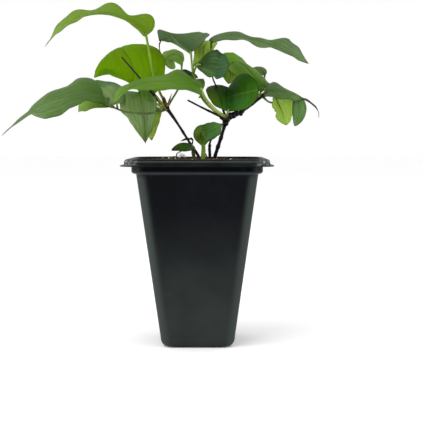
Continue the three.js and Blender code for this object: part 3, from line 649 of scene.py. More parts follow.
# many of these numbers are rounded results of a least-squares fit to outlines read off the photograph
# every leaf, in millimetres and degrees: midrib from the blade's base to its tip, full width, place of the
# widest part, roundness, reach of the basal lobes, where the upper side looks at base and tip, rise of the
# left and right half, their share of the width, height, number and start of the margin's ripples, lifts (mm)
# and swells (share) of each margin at the hump places, drip tip (share of the length, half width), stalk
leafSettings = {
    "top_left_leaf": dict(
        midrib=[(-36.7, 8, 217.9), (-44.1, 5, 230.1), (-79.7, 8, 248.6), (-108.5, 7, 210.2)],
        width=21, widest=0.3, plump=0.42, lobes=0.02,
        face=[(-0.2, -0.4, 0.9), (0, 0.2, 1)], fold=(-5, 50), halves=(0.71, 1.12), wave=(0, 3.2, 0.68),
        lifts=[(0, 0, 0, 0, -2.2, -2), (2.2, -1.9, 3, -3.6, 1.6, 2.4)],
        swells=[(-0.3, -0.45, -0.4, -0.2, -0.1, 0), (0.3, -0.42, -0.3, -0.14, 0, -0.12)],
        stalk=[(-21.8, -7, 169), (-27, 2, 178), (-31, 6, 189), (-33.5, 6.5, 201)],
        stalkRadii=(1, 1.1, 1.1, 0.9), finish="sunlitGreen"),
    "left_back_leaf": dict(
        midrib=[(-48, 8, 184), (-41, 14, 193), (-54, 22, 211), (-58, 39, 213)],
        width=52, widest=0.34, plump=0.42, lobes=0.11,
        face=[(0, -0.9, 0.3), (-0.3, -0.1, 0.9)], fold=(0, 0), halves=(1.1, 0.9), wave=(0.4, 1, 0),
        stalk=[(-23.6, -6.6, 168), (-32.5, 1, 175), (-41, 5.5, 180.5)], finish="glowingGreen"),
    "left_front_leaf": dict(
        midrib=[(-63.2, -25, 171.1), (-61.5, -37, 182.4), (-103.8, -34, 174.9), (-128.3, -44, 147.4)],
        width=32.5, widest=0.49, plump=0.54, lobes=0, drip=(0.3, 2.8),
        face=[(0, -0.7, 0.7), (-0.3, -0.2, 0.9)], fold=(-15, -9), halves=(0.97, 1.26), wave=(0.5, 1.8, 0),
        lifts=[(0.9, 2.1, 1, -1.8, -0.3, -0.7), (1.2, 1, 0, 0.7, 1, 1)],
        swells=[(-0.15, -0.3, -0.15, -0.05, 0.47, 0), (0.13, 0.17, -0.14, 0.08, 0, 0)],
        stalk=[(-22, -9.8, 165.4), (-25.5, -24.5, 163.5), (-34, -36, 162), (-47, -38.5, 163),
               (-57.5, -33, 167)],
        stalkRadii=(0.9, 0.8, 0.75, 0.7, 0.65), finish="middleGreen"),
    "left_lower_leaf": dict(
        midrib=[(-59, -18, 167), (-67, -12, 178), (-86, 6, 177), (-87, 26, 168)],
        width=23, widest=0.46, plump=0.48, lobes=0.01,
        face=[(0, 0.2, 1), (-0.5, -0.1, 0.9)], fold=(-55, -36), halves=(1.1, 0.9), wave=(0.6, 1.7, 0.3),
        stalk=[(-56, -32.5, 166.3)], finish="sunlitGreen"),
    "left_middle_leaf": dict(
        midrib=[(-55, -20, 169), (-64, -5, 185), (-63, 3, 177), (-73, 10, 187)],
        width=28, widest=0.43, plump=0.53, lobes=0.1,
        face=[(0.1, -0.9, 0.4), (0.3, -0.8, 0.6)], fold=(10, 6), halves=(1, 0.7), wave=(0.7, 1.5, 0),
        stalk=[(-53, -36, 165.3)], finish="greyGreen"),
    "hanging_leaf": dict(
        midrib=[(-40.3, -14, 177.3), (-37.9, -21, 170.1), (-34.9, -25, 157), (-35.9, -18, 142)],
        width=27, widest=0.26, plump=0.4, lobes=0.2,
        face=[(0, -1, 0.3), (0, -1, 0)], fold=(8, -5), halves=(0.79, 1.09), wave=(0.2, 1.1, 0),
        swells=[(0, 0, 0, -0.06, 0, 0), (0.08, 0, 0.04, -0.1, -0.06, 0)],
        stalk=[(-23.8, -9.4, 167.6), (-29, -10, 175), (-35, -11, 179)], finish="hangingGreen"),
    "hanging_side_leaf": dict(
        midrib=[(-27, -5, 166.5), (-33, -4, 160), (-34, -13, 156), (-32, -10, 144)],
        width=12, widest=0.4, plump=0.55, lobes=0.04,
        face=[(0, 1, 0.3), (0.3, 0.9, 0.3)], fold=(12, 15), halves=(1, 1), wave=(0.5, 1.3, 0),
        stalk=[(-22, -7.6, 165.4)], finish="paleGreen"),
    "long_front_leaf": dict(
        midrib=[(3, -18, 177.5), (1, -22, 184.4), (-50.2, -30, 188.3), (-54.3, -42, 167.4)],
        width=32, widest=0.28, plump=0.32, lobes=0.05,
        face=[(0, -0.6, 0.8), (-0.6, -0.5, 0.6)], fold=(6, -16), halves=(0.83, 1.31), wave=(0, 1.5, 0.1),
        lifts=[(0.7, 1.3, 0.8, -0.9, -0.6, 1.5), (-3, 3.2, 0.1, -0.6, 0.7, 2.6)],
        swells=[(-0.05, -0.1, -0.07, 0, 0.07, 0), (0.28, 0.22, -0.05, 0, 0, 0.05)],
        stalk=[(19.5, -2.5, 160.3), (12.5, -12.5, 164.8), (6.2, -17, 171.3)],
        stalkRadii=(1.4, 1.4, 1.1), finish="freshGreen"),
    "crown_left_leaf": dict(
        midrib=[(-4.9, 2, 205.4), (-12.8, 16, 210.9), (-21.5, 27, 218.6), (-27.6, 8, 214.4)],
        width=34, widest=0.34, plump=0.58, lobes=0.12,
        face=[(0, -0.2, 1), (0.5, -0.1, 0.8)], fold=(31, 35), halves=(0.83, 1.22), wave=(0.4, 1, 0),
        lifts=[(1.5, -0.7, 0, 0, -0.2, -2), (2.5, 0.2, 0.6, 1.1, -0.6, -0.6)],
        swells=[(0, 0, 0, 0, 0.1, 0.3), (-0.1, 0.07, 0.1, 0.13, -0.12, 0.1)],
        stalk=[(18.5, 0.5, 160.5), (11, 2, 165.5), (3.5, 2, 173), (0, 2, 182), (-3.5, 2, 192),
               (-4.4, 2, 200)],
        stalkRadii=(1, 0.9, 0.85, 0.8, 0.8, 0.8), finish="shadeGreen"),
    "crown_inner_leaf": dict(
        midrib=[(-3, 5, 197), (12, 8, 206), (-4, 20, 213), (14, 31, 215.5)],
        width=16, widest=0.42, plump=0.56, lobes=0,
        face=[(-0.1, 1, -0.2), (-0.1, 0.8, -0.6)], fold=(11, 8), halves=(1.1, 0.9), wave=(0.5, 1.6, 0),
        stalk=[(-3.6, 2, 193.5)], finish="paleGreen"),
    "crown_front_leaf": dict(
        midrib=[(-0.4, -6, 196.4), (12.3, -6, 195), (16.7, -4, 192.4), (21.8, -11, 198)],
        width=30, widest=0.47, plump=0.58, lobes=0.02,
        face=[(0, -0.6, 0.8), (0, -0.8, 0.5)], fold=(1, 11), halves=(1.04, 0.98), wave=(0.6, 1.4, 0),
        lifts=[(-1.5, 0.2, 0.5, 0.6, -0.3, 0), (-0.3, 0.3, 0.2, 1.2, -0.3, -0.9)],
        swells=[(-0.16, 0.07, 0.08, 0.14, 0, 0), (0, 0, 0, -0.17, 0, 0.06)],
        stalk=[(-3, 2, 191.5)], finish="deepGreen"),
    "heart_leaf": dict(
        midrib=[(21, -4, 164), (24, 2, 170), (20, 14, 188), (23, 26, 181)],
        width=42, widest=0.3, plump=0.46, lobes=0.11,
        face=[(0.1, -0.4, 0.9), (-0.4, 0, 0.9)], fold=(33, 33), halves=(0.9, 1.2), wave=(0.5, 1.5, 0),
        stalk=[(20.5, -1, 160)], finish="darkGreen"),
    "top_right_leaf": dict(
        midrib=[(9.7, 8, 213.7), (24.2, 11, 223), (55, 4, 209.8), (76.7, -12, 196.6)],
        width=26, widest=0.32, plump=0.43, lobes=0.03,
        face=[(0, 0.3, 1), (-0.2, -0.2, 0.9)], fold=(35, -23), halves=(1.2, 0.8), wave=(0.1, 2.1, 0),
        lifts=[(0.8, 1.2, -2.9, -2.8, 0.2, 1.1), (-2, -1.3, 1.2, -0.4, 3.1, 2.7)],
        swells=[(0, -0.12, -0.18, -0.1, 0.31, 0.15), (0, 0, 0, 0, -0.19, -0.12)],
        stalk=[(9.5, 10, 210)], finish="middleGreen"),
    "right_arching_leaf": dict(
        midrib=[(48.5, 18, 180.3), (34.1, 31, 197.4), (25.6, 43, 215), (22.4, 39, 186)],
        width=29, widest=0.42, plump=0.5, lobes=0.06,
        face=[(0, -0.5, 0.9), (0.7, -0.7, 0.3)], fold=(-6, -20), halves=(1, 1), wave=(0.6, 1.3, 0),
        lifts=[(0, 0, 0, 0, 0, 0), (2.6, -0.7, 0.3, 0.2, -1.1, 0)],
        swells=[(-0.45, -0.35, -0.1, 0, 0, 0), (0, 0, 0, 0, 0, 0)],
        stalk=[(24, 3.4, 162.5), (31.5, 5, 168), (39, 5.8, 173.4), (47, 11.5, 177.8)], finish="freshGreen"),
    "right_back_leaf": dict(
        midrib=[(50, 47, 193), (46, 50, 200), (40, 53, 199), (36, 55, 193)],
        width=12, widest=0.43, plump=0.57, lobes=0,
        face=[(0, -0.5, 0.9), (-0.2, -0.5, 0.9)], fold=(-10, -3), halves=(1, 1), wave=(0.1, 1.1, 0),
        stalk=[(39, 7.2, 170.8), (43, 22, 174), (48, 38, 184)], finish="middleGreen"),
    "far_right_leaf": dict(
        midrib=[(47.4, 4, 176.9), (53.1, 0, 181.6), (90.7, 11, 173.7), (85.8, 4, 160.3)],
        width=28, widest=0.25, plump=0.36, lobes=0.02, drip=(0.42, 0.45),
        face=[(0, -0.6, 0.8), (0.4, -0.5, 0.8)], fold=(-18, 3), halves=(1.34, 0.77), wave=(0, 1.5, 0.1),
        lifts=[(-0.7, 1.6, -0.6, 0.2, 1.4, 0.9), (2, 0.2, -0.2, -3.2, 0.4, 0)],
        swells=[(0.1, 0.24, 0, 0, 0, 0), (-0.17, 0, 0, 0.07, 0, 0)],
        stalk=[(45.5, 4, 175)], finish="middleGreen"),
    "far_right_light_leaf": dict(
        midrib=[(55.7, 8, 175.1), (56, 10, 171.8), (61.3, 12, 166.4), (63.3, 11, 154.9)],
        width=18, widest=0.36, plump=0.4, lobes=0,
        face=[(0, 1, 0.2), (-0.1, 1, 0.1)], fold=(3, 3), halves=(0.9, 1.2), wave=(0.2, 1, 0.1),
        swells=[(-0.5, -0.35, -0.4, -0.45, -0.15, 0), (0.2, 0.2, 0, 0, 0, -0.2)],
        stalk=[(48, 4.4, 175.9)], finish="backlitGreen"),
    "far_right_blue_leaf": dict(
        midrib=[(70.9, 8, 175.4), (71.5, 7, 168.4), (72.1, 2, 164), (68.6, 1, 154.1)],
        width=17, widest=0.42, plump=0.5, lobes=0,
        face=[(-0.1, -1, 0.2), (0, -1, 0.2)], fold=(4, 10), halves=(0.7, 0.5), wave=(0.2, 1, 0),
        stalk=[(46.6, 5.9, 174.6), (51, 11, 171.5), (58, 16, 171), (66, 14, 174)], finish="greyGreen"),
    "small_back_leaf": dict(
        midrib=[(-6, 9, 186), (-10, 14, 193), (-6, 16, 184), (-10, 27, 196)],
        width=16, widest=0.4, plump=0.45, lobes=0.08,
        face=[(0.1, -0.8, 0.5), (0.2, -0.5, 0.9)], fold=(8, 9), halves=(1, 1), wave=(0.3, 1.5, 0.1),
        stalk=[(-14, 8, 181)], finish="darkGreen"),
    "crumpled_back_leaf": dict(
        midrib=[(-12, 22, 198), (-9, 26, 208), (-20, 30, 213), (-31, 34, 195)],
        width=24, widest=0.39, plump=0.51, lobes=0.02,
        face=[(0.7, -0.6, 0.2), (-0.8, -0.6, 0.3)], fold=(-23, -20), halves=(1.2, 0.45), wave=(1.1, 2.4, 0.5),
        swells=[(0, 0, -0.1, -0.45, -0.8, -0.75), (-0.75, -0.55, -0.2, 0.2, 0.7, 1.2)],
        stalk=[(-20.5, -6, 168.5), (-17, 2, 175), (-14, 8, 181), (-12, 15, 189)], finish="softGreen"),
    "basal_spoon_leaf": dict(
        midrib=[(4, -9, 139.5), (2, -11, 153.5), (-1, -17, 146), (18.4, -12, 156)],
        width=13, widest=0.42, plump=0.95, lobes=0,
        face=[(-0.1, -1, 0.1), (0, -0.9, 0.3)], fold=(9, 7), halves=(0.9, 1.2), wave=(0.1, 1, 0),
        swells=[(0, 0, 0, -0.12, 0.05, 0.4), (0, 0, 0, 0, 0.15, 0.6)],
        stalk=[(3.5, -9, 121), (3.7, -9, 131), (4, -9, 136)], stalkRadii=(1.5, 1.7, 1.8, 1.4),
        finish="basalGreen"),
    "basal_low_leaf": dict(
        midrib=[(-3, -9, 139), (-8, -12, 142), (-14, -11, 140), (-18, -13, 137)],
        width=13, widest=0.43, plump=0.59, lobes=0,
        face=[(0.1, -0.6, 0.8), (0, -0.4, 0.9)], fold=(-6, -14), halves=(1, 1), wave=(0.2, 1.8, 0),
        stalk=[(-1.6, -5, 121), (-2.6, -4.7, 131), (-3.3, -5.6, 136)], stalkRadii=(1.3, 1.4, 1.5, 1.3),
        finish="basalDark"),
    "basal_sickle_leaf": dict(
        midrib=[(-3.5, -3, 144.5), (-5, -4, 146), (-8, -5, 146), (-12, -6, 143.5)],
        width=5.5, widest=0.35, plump=0.5, lobes=0,
        face=[(0, -0.3, 1), (0, -0.3, 1)], fold=(-10, -10), halves=(1, 1), wave=(0, 1, 0),
        stalk=[(-4, -1.4, 141.6)], stalkRadii=(0.6, 0.5), finish="driedBlack"),
}


def stepsFor(run, limits):
    return max(limits[0], min(limits[1], round(run / leafShape["fineStep"])))


def growLeaf(node, leaf, tree, materials, seed):
    s = leafShape
    midrib = [Vector(p) for p in leaf["midrib"]]
    inward = midrib[0] + (midrib[1] - midrib[0]).normalized() * s["rooting"]
    path = smoothPath([*leaf["stalk"], midrib[0], inward], s["stalkStep"] * mm)
    radii = leaf.get("stalkRadii", s["stalkRadii"])
    host = threadMesh(node, [(path, girthsAlong(path, radii, s["stalkShare"], s["stalkKnots"]))])
    length = sum((b - a).length for a, b in zip(midrib, midrib[1:]))
    stepsAcross = stepsFor(leaf["width"] * 1.15, s["stepsAcross"])
    values = {
        **dict(zip(("Base", "Base Handle", "Tip Handle", "Tip"), (spot * mm for spot in midrib))),
        **dict(zip(("Face Base", "Face Tip"), leaf["face"])),
        **dict(zip(("Fold Left", "Fold Right"), map(math.radians, leaf["fold"]))),
        **dict(zip(("Half Left", "Half Right"), leaf["halves"])),
        **dict(zip(("Wave Height", "Wave Count", "Wave Start"), leaf["wave"])),
        **dict(zip(("Drip", "Tail"), leaf.get("drip", (0, 0)))),
        "Width": leaf["width"], "Widest": leaf["widest"], "Plump": leaf["plump"], "Lobes": leaf["lobes"],
        "Thickness": s["thickness"], "Narrowest": s["narrowest"], "Vein Depth": s["veinDepth"],
        "Vein Width": s["veinWidth"], "Pucker": s["pucker"], "Cell": s["cell"], "Wander": s["wander"],
        "Arch": s["arch"], "Crease": s["crease"], "Seed": seed * 3.7,
        "Rib Base": radii[-1] * s["stalkShare"] * 0.9, "Rib Tip": s["ribTip"],
        "Steps Along": stepsFor(length, s["stepsAlong"]),
        "Steps Across": stepsAcross // 2 * 2 + 1,
        "Material": materials[leaf["finish"]],
    }
    for label in ("Wave Height", "Tail", "Width", "Thickness", "Narrowest", "Vein Depth", "Vein Width",
                  "Pucker", "Cell", "Crease", "Rib Base", "Rib Tip"):
        values[label] *= mm
    for what, unit in (("lifts", mm), ("swells", 1.0)):
        for hand, heights in zip(("Left", "Right"), leaf.get(what, ())):
            for part, first in (("Early", 0), ("Late", 3)):
                label = f"{what[:-1].title()} {hand} {part}"
                values[label] = [tall * unit for tall in heights[first:first + 3]]
    finishPiece(grow(node + "let", host, tree, values), node)


leafMaterials = {name: leafMaterial(name, finish) for name, finish in leafFinishes.items()}
bladeTree = leafTree()
for number, (node, leaf) in enumerate(leafSettings.items()):
    growLeaf(node, leaf, bladeTree, leafMaterials, number)
print("leaves grown:", len(leafSettings))


# woody stems: ribbed, knotty and dark, with a lump at each node
stemSettings = dict(
    girth=0.87, ribs=7, ribDepth=0.09, twist=18.0, rough=0.09, ring=28, spacing=0.45,
    youngTop=(0.189, 0.197), youngSide=(0.0, 0.004),  # metres: where the green of young bark sets in
)


def stemTree():
    tree, take = startTree("woodyStem", {
        "Ribs": 7, "Rib Depth": 0.08, "Twist": 20.0, "Rough": 0.0001, "Around": 28, "Material": None})
    parameter = addNode(tree, "GeometryNodeSplineParameter")
    factor, run = (Wire(parameter.outputs[label]) for label in ("Factor", "Length"))
    ring = nodeOut(tree, "GeometryNodeCurvePrimitiveCircle", {"Resolution": take["Around"], "Radius": 1.0})
    place = nodeOut(tree, "GeometryNodeInputPosition")
    ridges = calc("COSINE", factor * (2 * math.pi) * take["Ribs"]) * take["Rib Depth"] + 1.0
    ring = store(ring, "around", factor)
    ring = moved(ring, vec("SCALE", place, ridges))
    line = store(nodeOut(tree, "GeometryNodeMeshToCurve", {0: take["Geometry"]}), "lengthwise", run)
    line = nodeOut(tree, "GeometryNodeSetCurveTilt", {"Curve": line, "Tilt": run * take["Twist"]})
    size = recall(tree, "lump")
    spots = nodeOut(tree, "GeometryNodeMeshToPoints", {
        "Mesh": take["Geometry"], "Selection": calc("GREATER_THAN", size, 0.0)})
    ball = nodeOut(tree, "GeometryNodeMeshIcoSphere", {"Radius": 1.0, "Subdivisions": 5})
    lumps = nodeOut(tree, "GeometryNodeInstanceOnPoints", {"Points": spots, "Instance": ball, "Scale": size})
    lumps = nodeOut(tree, "GeometryNodeRealizeInstances", {"Geometry": lumps})
    push = noiseOf(place, 900.0, 3.0, 0.5) - 0.5 + (noiseOf(place, 260.0, 2.0, 0.5) - 0.5) * 1.6
    normal = nodeOut(tree, "GeometryNodeInputNormal")
    offset = vec("SCALE", normal, push * (take["Rough"] * 2.0))
    endTree(tree, moved(join(lumps, sweep(tree, line, ring)), offset=offset), take["Material"])
    return tree


def barkMaterial(name, deep, light, streak, young=None):
    material, tree, place = startMaterial(name)
    around, lengthwise = (attributeOf(tree, label) for label in ("around", "lengthwise"))
    fibre = noiseOf(combine(around * 9.0, lengthwise * 160.0, 0.0), 1.6, 4.0, 0.6, 0.4)
    patch = noiseOf(place, 210.0, 4.0, 0.62)
    skin = tint(ramp(patch, 0.35, 0.72), deep, light)
    skin = tint(ramp(fibre, 0.55, 0.75, 0.0, 0.6), skin, streak)
    if young:  # the thin upper stem is still green
        aside, _, tall = split(place)
        green = ramp(tall, *stemSettings["youngTop"]) * ramp(aside, *stemSettings["youngSide"])
        skin = tint(green, skin, young)
    relief = bumpOf(fibre * 0.8 + noiseOf(place, 2200.0) * 0.4, 0.00018, 0.8)
    endMaterial(coat(skin, ramp(patch, 0.3, 0.8, 0.45, 0.75), 0.14, relief))
    return material


leftNode = (-21.5, -8, 166.5)
rightNode = (20, 0, 159)
stems = {
    "left_vine": dict(
        piece="left_woody_stem",
        threads=[
            ([(3, 3, 120), (1, 2, 131.5), (-5.5, 0, 142), (-14, -4, 155.5), leftNode],
             (1.4, 1.2, 0.95, 0.95, 1.5), ((0.62, 0.18, 0.02),)),
            ([leftNode, (-25.6, -14.5, 170.8), (-31.5, -20, 177), (-41.5, -16, 189), (-52, -14, 201)],
             (1.1, 0.95, 0.75, 0.6, 0.5), ()),
        ],
        lumps=[(leftNode, 1.9), ((-22.2, -8.3, 167.8), 1.5), ((-20.9, -7.8, 165.2), 1.5)]),
    "right_vine": dict(
        piece="right_woody_stem",
        threads=[
            ([(10.5, 4, 120), (12, 4, 131.5), (13.5, 3, 137), (17, 2, 148), rightNode],
             (1.5, 1.2, 1.35, 1.3, 1.3, 2), ((0.5, 0.4, 0.03), (0.66, 0.35, 0.03), (0.34, 0.2, 0.03))),
            ([rightNode, (25.5, 1, 161.5), (31.5, 2, 165), (39, 3, 170), (46.5, 4, 176)],
             (1.9, 1.3, 1.3, 1.0, 1.1), ((0.2, 0.2, 0.04), (0.68, 0.2, 0.03))),
            ([rightNode, (6, -5, 165.5), (-7, -9, 172)], (1.2, 0.8, 0.65), ((0.45, 0.12, 0.03),)),
            ([rightNode, (17, 3, 168.5), (13, 6, 182), (10.5, 8, 189), (10, 10, 200), (9.5, 10, 210.5)],
             (1.2, 0.7, 0.6, 0.55, 0.55), ()),
        ],
        lumps=[(rightNode, 3), ((17.4, -0.4, 160.6), 2.2), ((22.6, 0.2, 161.2), 2.7), ((19.6, 0, 156.2), 2.3),
               ((31.5, 2, 164.7), 1.7), ((30.4, 1.4, 162.8), 1.6), ((46.3, 4, 175.8), 1.2),
               ((25, 0.4, 161.8), 2.5), ((27.6, 0.9, 163), 2.1), ((15, -1.4, 162), 1.5),
               ((15.6, 2.6, 143.6), 1.3)]),
    "dead_stub": dict(
        piece="dead_stub_twig",
        threads=[([(8.2, 0, 121), (8.6, 0, 131.5), (8.3, 0, 141), (10.2, 0.5, 146)],
                  (1.1, 0.9, 1.2, 0.5), ((0.5, 0.2, 0.04),))],
        lumps=[((8.4, 0, 140.4), 1.2)]),
    "dead_spike": dict(
        piece="dead_spike_twig",
        threads=[([(7.6, -6, 123), (6.6, -6, 131), (5.6, -6, 134.8)], (0.8, 0.7, 0.4), ())]),
    "dry_tendril": dict(
        piece="dry_tendril_curl",
        threads=[([(-15.6, 8, 123), (-15.6, 8, 131.5), (-15.1, 8, 134.6), (-11.5, 8, 136.6)],
                  (0.6, 0.5, 0.35), ())]),
    "crown_left_leaf": dict(
        piece="crown_leaf_tip",
        threads=[([(-26.3, 7.6, 214.4), (-27.3, 6.8, 211.5), (-27.2, 7, 208.5), (-26.6, 7.4, 205.6)],
                  (0.5, 0.5, 0.4, 0.2), ())]),
    "left_bud": dict(
        piece="left_node_bracts", bark="bractGreen",
        threads=[
            ([(-22.3, -8.6, 167.5), (-24.2, -10.8, 173), (-26.4, -12.6, 179.5)], (0.9, 0.9, 0.12), ()),
            ([(-20.8, -7.6, 167.8), (-19.6, -7.4, 172), (-18, -6.4, 176.8)], (0.8, 0.7, 0.1), ()),
            ([(-22.6, -9, 167.3), (-25.6, -15.6, 170.6), (-28.6, -20, 174.8)], (1.1, 1, 0.1), ()),
            ([(-22.8, -9.2, 166.8), (-27.5, -16, 168.8), (-32, -21, 171.6)], (1.2, 1.1, 0.1), ()),
            ([(-22.6, -9.4, 166.2), (-26, -15, 166), (-30, -19.6, 166.8)], (1, 0.8, 0.1), ()),
        ], lumps=[((-21.8, -8.8, 168.2), 1.3)]),
}


def growStem(node, stem, tree, material):
    s = stemSettings
    threads = []
    for points, radii, knots in stem["threads"]:
        path = smoothPath(points, s["spacing"] * mm)
        threads.append((path, girthsAlong(path, radii, s["girth"], knots)))
    values = {"Ribs": s["ribs"], "Rib Depth": s["ribDepth"], "Twist": s["twist"],
              "Rough": s["rough"] * mm, "Around": s["ring"], "Material": material}
    finishPiece(grow(stem["piece"], threadMesh(node, threads, stem.get("lumps", ())), tree, values), node)


barks = {
    "oldBark": barkMaterial("oldBark", "090605", "1d1410", "3a2c22", young="5c7434"),
    "bractGreen": barkMaterial("bractGreen", "6a6628", "8ca03e", "b4c46c"),
}
barkTree = stemTree()
for node, stem in stems.items():
    growStem(node, stem, barkTree, barks[stem.get("bark", "oldBark")])
print("stems grown:", len(stems))


# plain mesh helpers
def meshPiece(name, bm, material, smooth=True):
    mesh = bpy.data.meshes.new(name)
    bm.to_mesh(mesh)
    bm.free()
    mesh.materials.append(material)
    if smooth:
        mesh.shade_smooth()
    piece = bpy.data.objects.new(name, mesh)
    scene.collection.objects.link(piece)
    return piece


def arc(middleHalf, middleHeight, across, tall, start, end, steps):
    points = []
    for i in range(steps + 1):
        angle = math.radians(start + (end - start) * i / steps)
        points.append((middleHalf + across * math.cos(angle), middleHeight + tall * math.sin(angle)))
    return points


# pot: a thin rounded-square shell, as half widths and heights in mm
potSettings = dict(
    flangeHalf=51.5, beadHalf=48.9, neckHalf=44.3, bodyTop=41.3, bodyFoot=26.1, foot=21.5,
    tall=131.7, ledge=121.0, flangeUnder=127.0, wall=1.2, floor=1.4,
    footRound=6.5, middle=8.0, bodyRings=15, drain=3.5, drainOut=12.0,
    cornerSteps=14, flatSteps=12, bow=0.25, bowLow=12.0, bowGap=8, sharp=38,
)


def cornerRadius(half):
    return half * 0.31 if half < 26 else 8 + (half - 26) * 0.19


def squareRing(half, height, cornerSteps, flatSteps, bow):
    ring = []
    radius = cornerRadius(half)
    straight = half - radius
    for quarter in range(4):
        turn = Matrix.Rotation(quarter * math.pi / 2, 3, "Z")
        for k in range(cornerSteps):
            angle = math.pi / 2 * k / cornerSteps
            spot = Vector((straight + radius * math.cos(angle), straight + radius * math.sin(angle), height))
            ring.append(turn @ spot)
        for k in range(flatSteps):
            share = k / flatSteps
            swell = bow * math.sin(math.pi * share)
            spot = Vector((straight - 2 * straight * share, half + swell, height))
            ring.append(turn @ spot)
    return [point * mm for point in ring]


def potProfile(p):
    bead, neck, wall, flange = p["beadHalf"], p["neckHalf"], p["wall"], p["flangeHalf"]
    under, top, ledge, rounding = p["flangeUnder"], p["tall"], p["ledge"], p["footRound"]
    foot, floor, inner, middle = p["foot"], p["floor"], neck - wall, p["middle"]
    profile = [(0.0, 0.0), (middle, 0.0), (foot - 3, 0.0)]
    profile += arc(foot, rounding, p["bodyFoot"] - foot, rounding, -90, 0, 10)
    for k in range(1, p["bodyRings"] + 1):
        share = k / p["bodyRings"]
        half = p["bodyFoot"] + (p["bodyTop"] - p["bodyFoot"]) * share
        profile.append((half, rounding + (ledge - rounding) * share))
    profile += arc(p["bodyTop"] + 1.2, ledge + 0.1, 1.1, 0.75, 180, 95, 4)[1:]
    profile += arc(neck - 2, ledge + 2.75, 2, 2, -70, 0, 6)
    profile += [(neck, ledge + 4), (neck, under - 0.9)]
    profile += arc(neck + 1.0, under - 0.9, 1.0, 0.9, 180, 90, 4)[1:]
    profile += [(bead - 0.6, under), (flange - 0.5, under - 0.1)]
    profile += arc(flange - 0.45, under + 0.3, 0.45, 0.4, -90, 90, 6)
    profile += [(bead + 0.5, under + 0.75), (bead + 0.05, under + 1.05), (bead, under + 1.6)]
    profile += arc(bead - 2.1, top - 2.1, 2.1, 2.1, 0, 90, 9)
    profile += arc(bead - 2.9, top - 1.1, 1.1, 1.1, 90, 180, 6)[1:]
    # and back down along the inside
    profile += [(bead - 4.2, top - 2.2), (inner + 0.1, under - 0.2), (inner, under - 0.8), (inner, ledge + 2)]
    profile += [(p["bodyTop"] - wall, ledge - 0.2), (p["bodyFoot"] - wall, rounding)]
    profile += [(foot + 1.9, floor + 1.2), (foot, floor), (middle, floor), (0.0, floor)]
    return profile


def loft(bm, profile, cornerSteps, flatSteps, bowOf):
    rings = []
    for half, height in profile:
        if half < 0.01:
            rings.append([bm.verts.new((0, 0, height * mm))])
        else:
            spots = squareRing(half, height, cornerSteps, flatSteps, bowOf(height))
            rings.append([bm.verts.new(spot) for spot in spots])
    for low, high in zip(rings, rings[1:]):
        count = max(len(low), len(high))
        for i in range(count):
            j = (i + 1) % count
            if len(low) == 1:
                bm.faces.new((low[0], high[j], high[i]))
            elif len(high) == 1:
                bm.faces.new((low[i], low[j], high[0]))
            else:
                bm.faces.new((low[i], low[j], high[j], high[i]))
    return rings


def makePot(p, material):
    bm = bmesh.new()
    lowBow, highBow = p["bowLow"], p["ledge"] - p["bowGap"]

    def bowOf(height):
        if not lowBow < height < highBow:
            return 0.0
        return -p["bow"] * math.sin(math.pi * (height - lowBow) / (highBow - lowBow))

    loft(bm, potProfile(p), p["cornerSteps"], p["flatSteps"], bowOf)
    bmesh.ops.recalc_face_normals(bm, faces=bm.faces)
    piece = meshPiece("nursery_pot", bm, material)
    drills = bmesh.new()
    radius = p["drain"] * mm
    for x, y in ((1, 1), (1, -1), (-1, 1), (-1, -1)):
        spot = Matrix.Translation((x * p["drainOut"] * mm, y * p["drainOut"] * mm, p["floor"] * mm))
        bmesh.ops.create_cone(
            drills, cap_ends=True, segments=40, radius1=radius, radius2=radius, depth=6 * mm, matrix=spot)
    drill = meshPiece("drainDrill", drills, material, smooth=False)
    cut = piece.modifiers.new("drains", "BOOLEAN")
    cut.object = drill
    cut.operation = "DIFFERENCE"
    depsgraph = bpy.context.evaluated_depsgraph_get()
    mesh = bpy.data.meshes.new_from_object(piece.evaluated_get(depsgraph))
    piece.modifiers.remove(cut)
    bpy.data.objects.remove(drill)
    piece.data = mesh
    mesh.set_sharp_from_angle(angle=math.radians(p["sharp"]))
    finishPiece(piece, "pot")


# black plastic: heights of its bands (mm) as none, full and, for a band, full again and none
plasticSettings = dict(
    # dust with painted sheen: a painted floor reflection paler towards the bottom, paler clouds on the rim
    skin=("07080b", "0c0d11"), dustAndSheen="333835", dustSheenFade=(105, 12), rimDustAndSheen=(125.5, 127.5),
    # painted shade in the neck band under the flange, a painted highlight in the ledge band
    neck=((123.2, 124.4, 126.8, 127.4), "000102", 1.0), ledge=((120.9, 121.7, 122.4, 123.8), "2c3035", 0.9),
    # painted highlights: the bead band, the glint on the body's corners and the pale patches on the flange's
    # corners
    bead=((129.4, 130.2, 130.3, 130.9), "4a5048", 0.5), edgeGlint="2f3532", cornerHighlight="7d827f", mark="6d716c",
    # spans of the cloudy noise and the strengths at their ends
    skinCloud=(0.35, 0.7), dustSheenCloud=(0.3, 0.75, 0.64, 0.86), rimCloud=(0.4, 0.7, 0.1, 0.45),
    # in metres: how much width and depth differ near an edge, and their sum at the flange's corners
    edgeReach=(0.0085, 0.0015), cornerHighlightReach=(0.086, 0.091),
    gloss=0.04, relief=0.08, rough=0.3, dustRough=0.16, drawnRough=0.12,
)


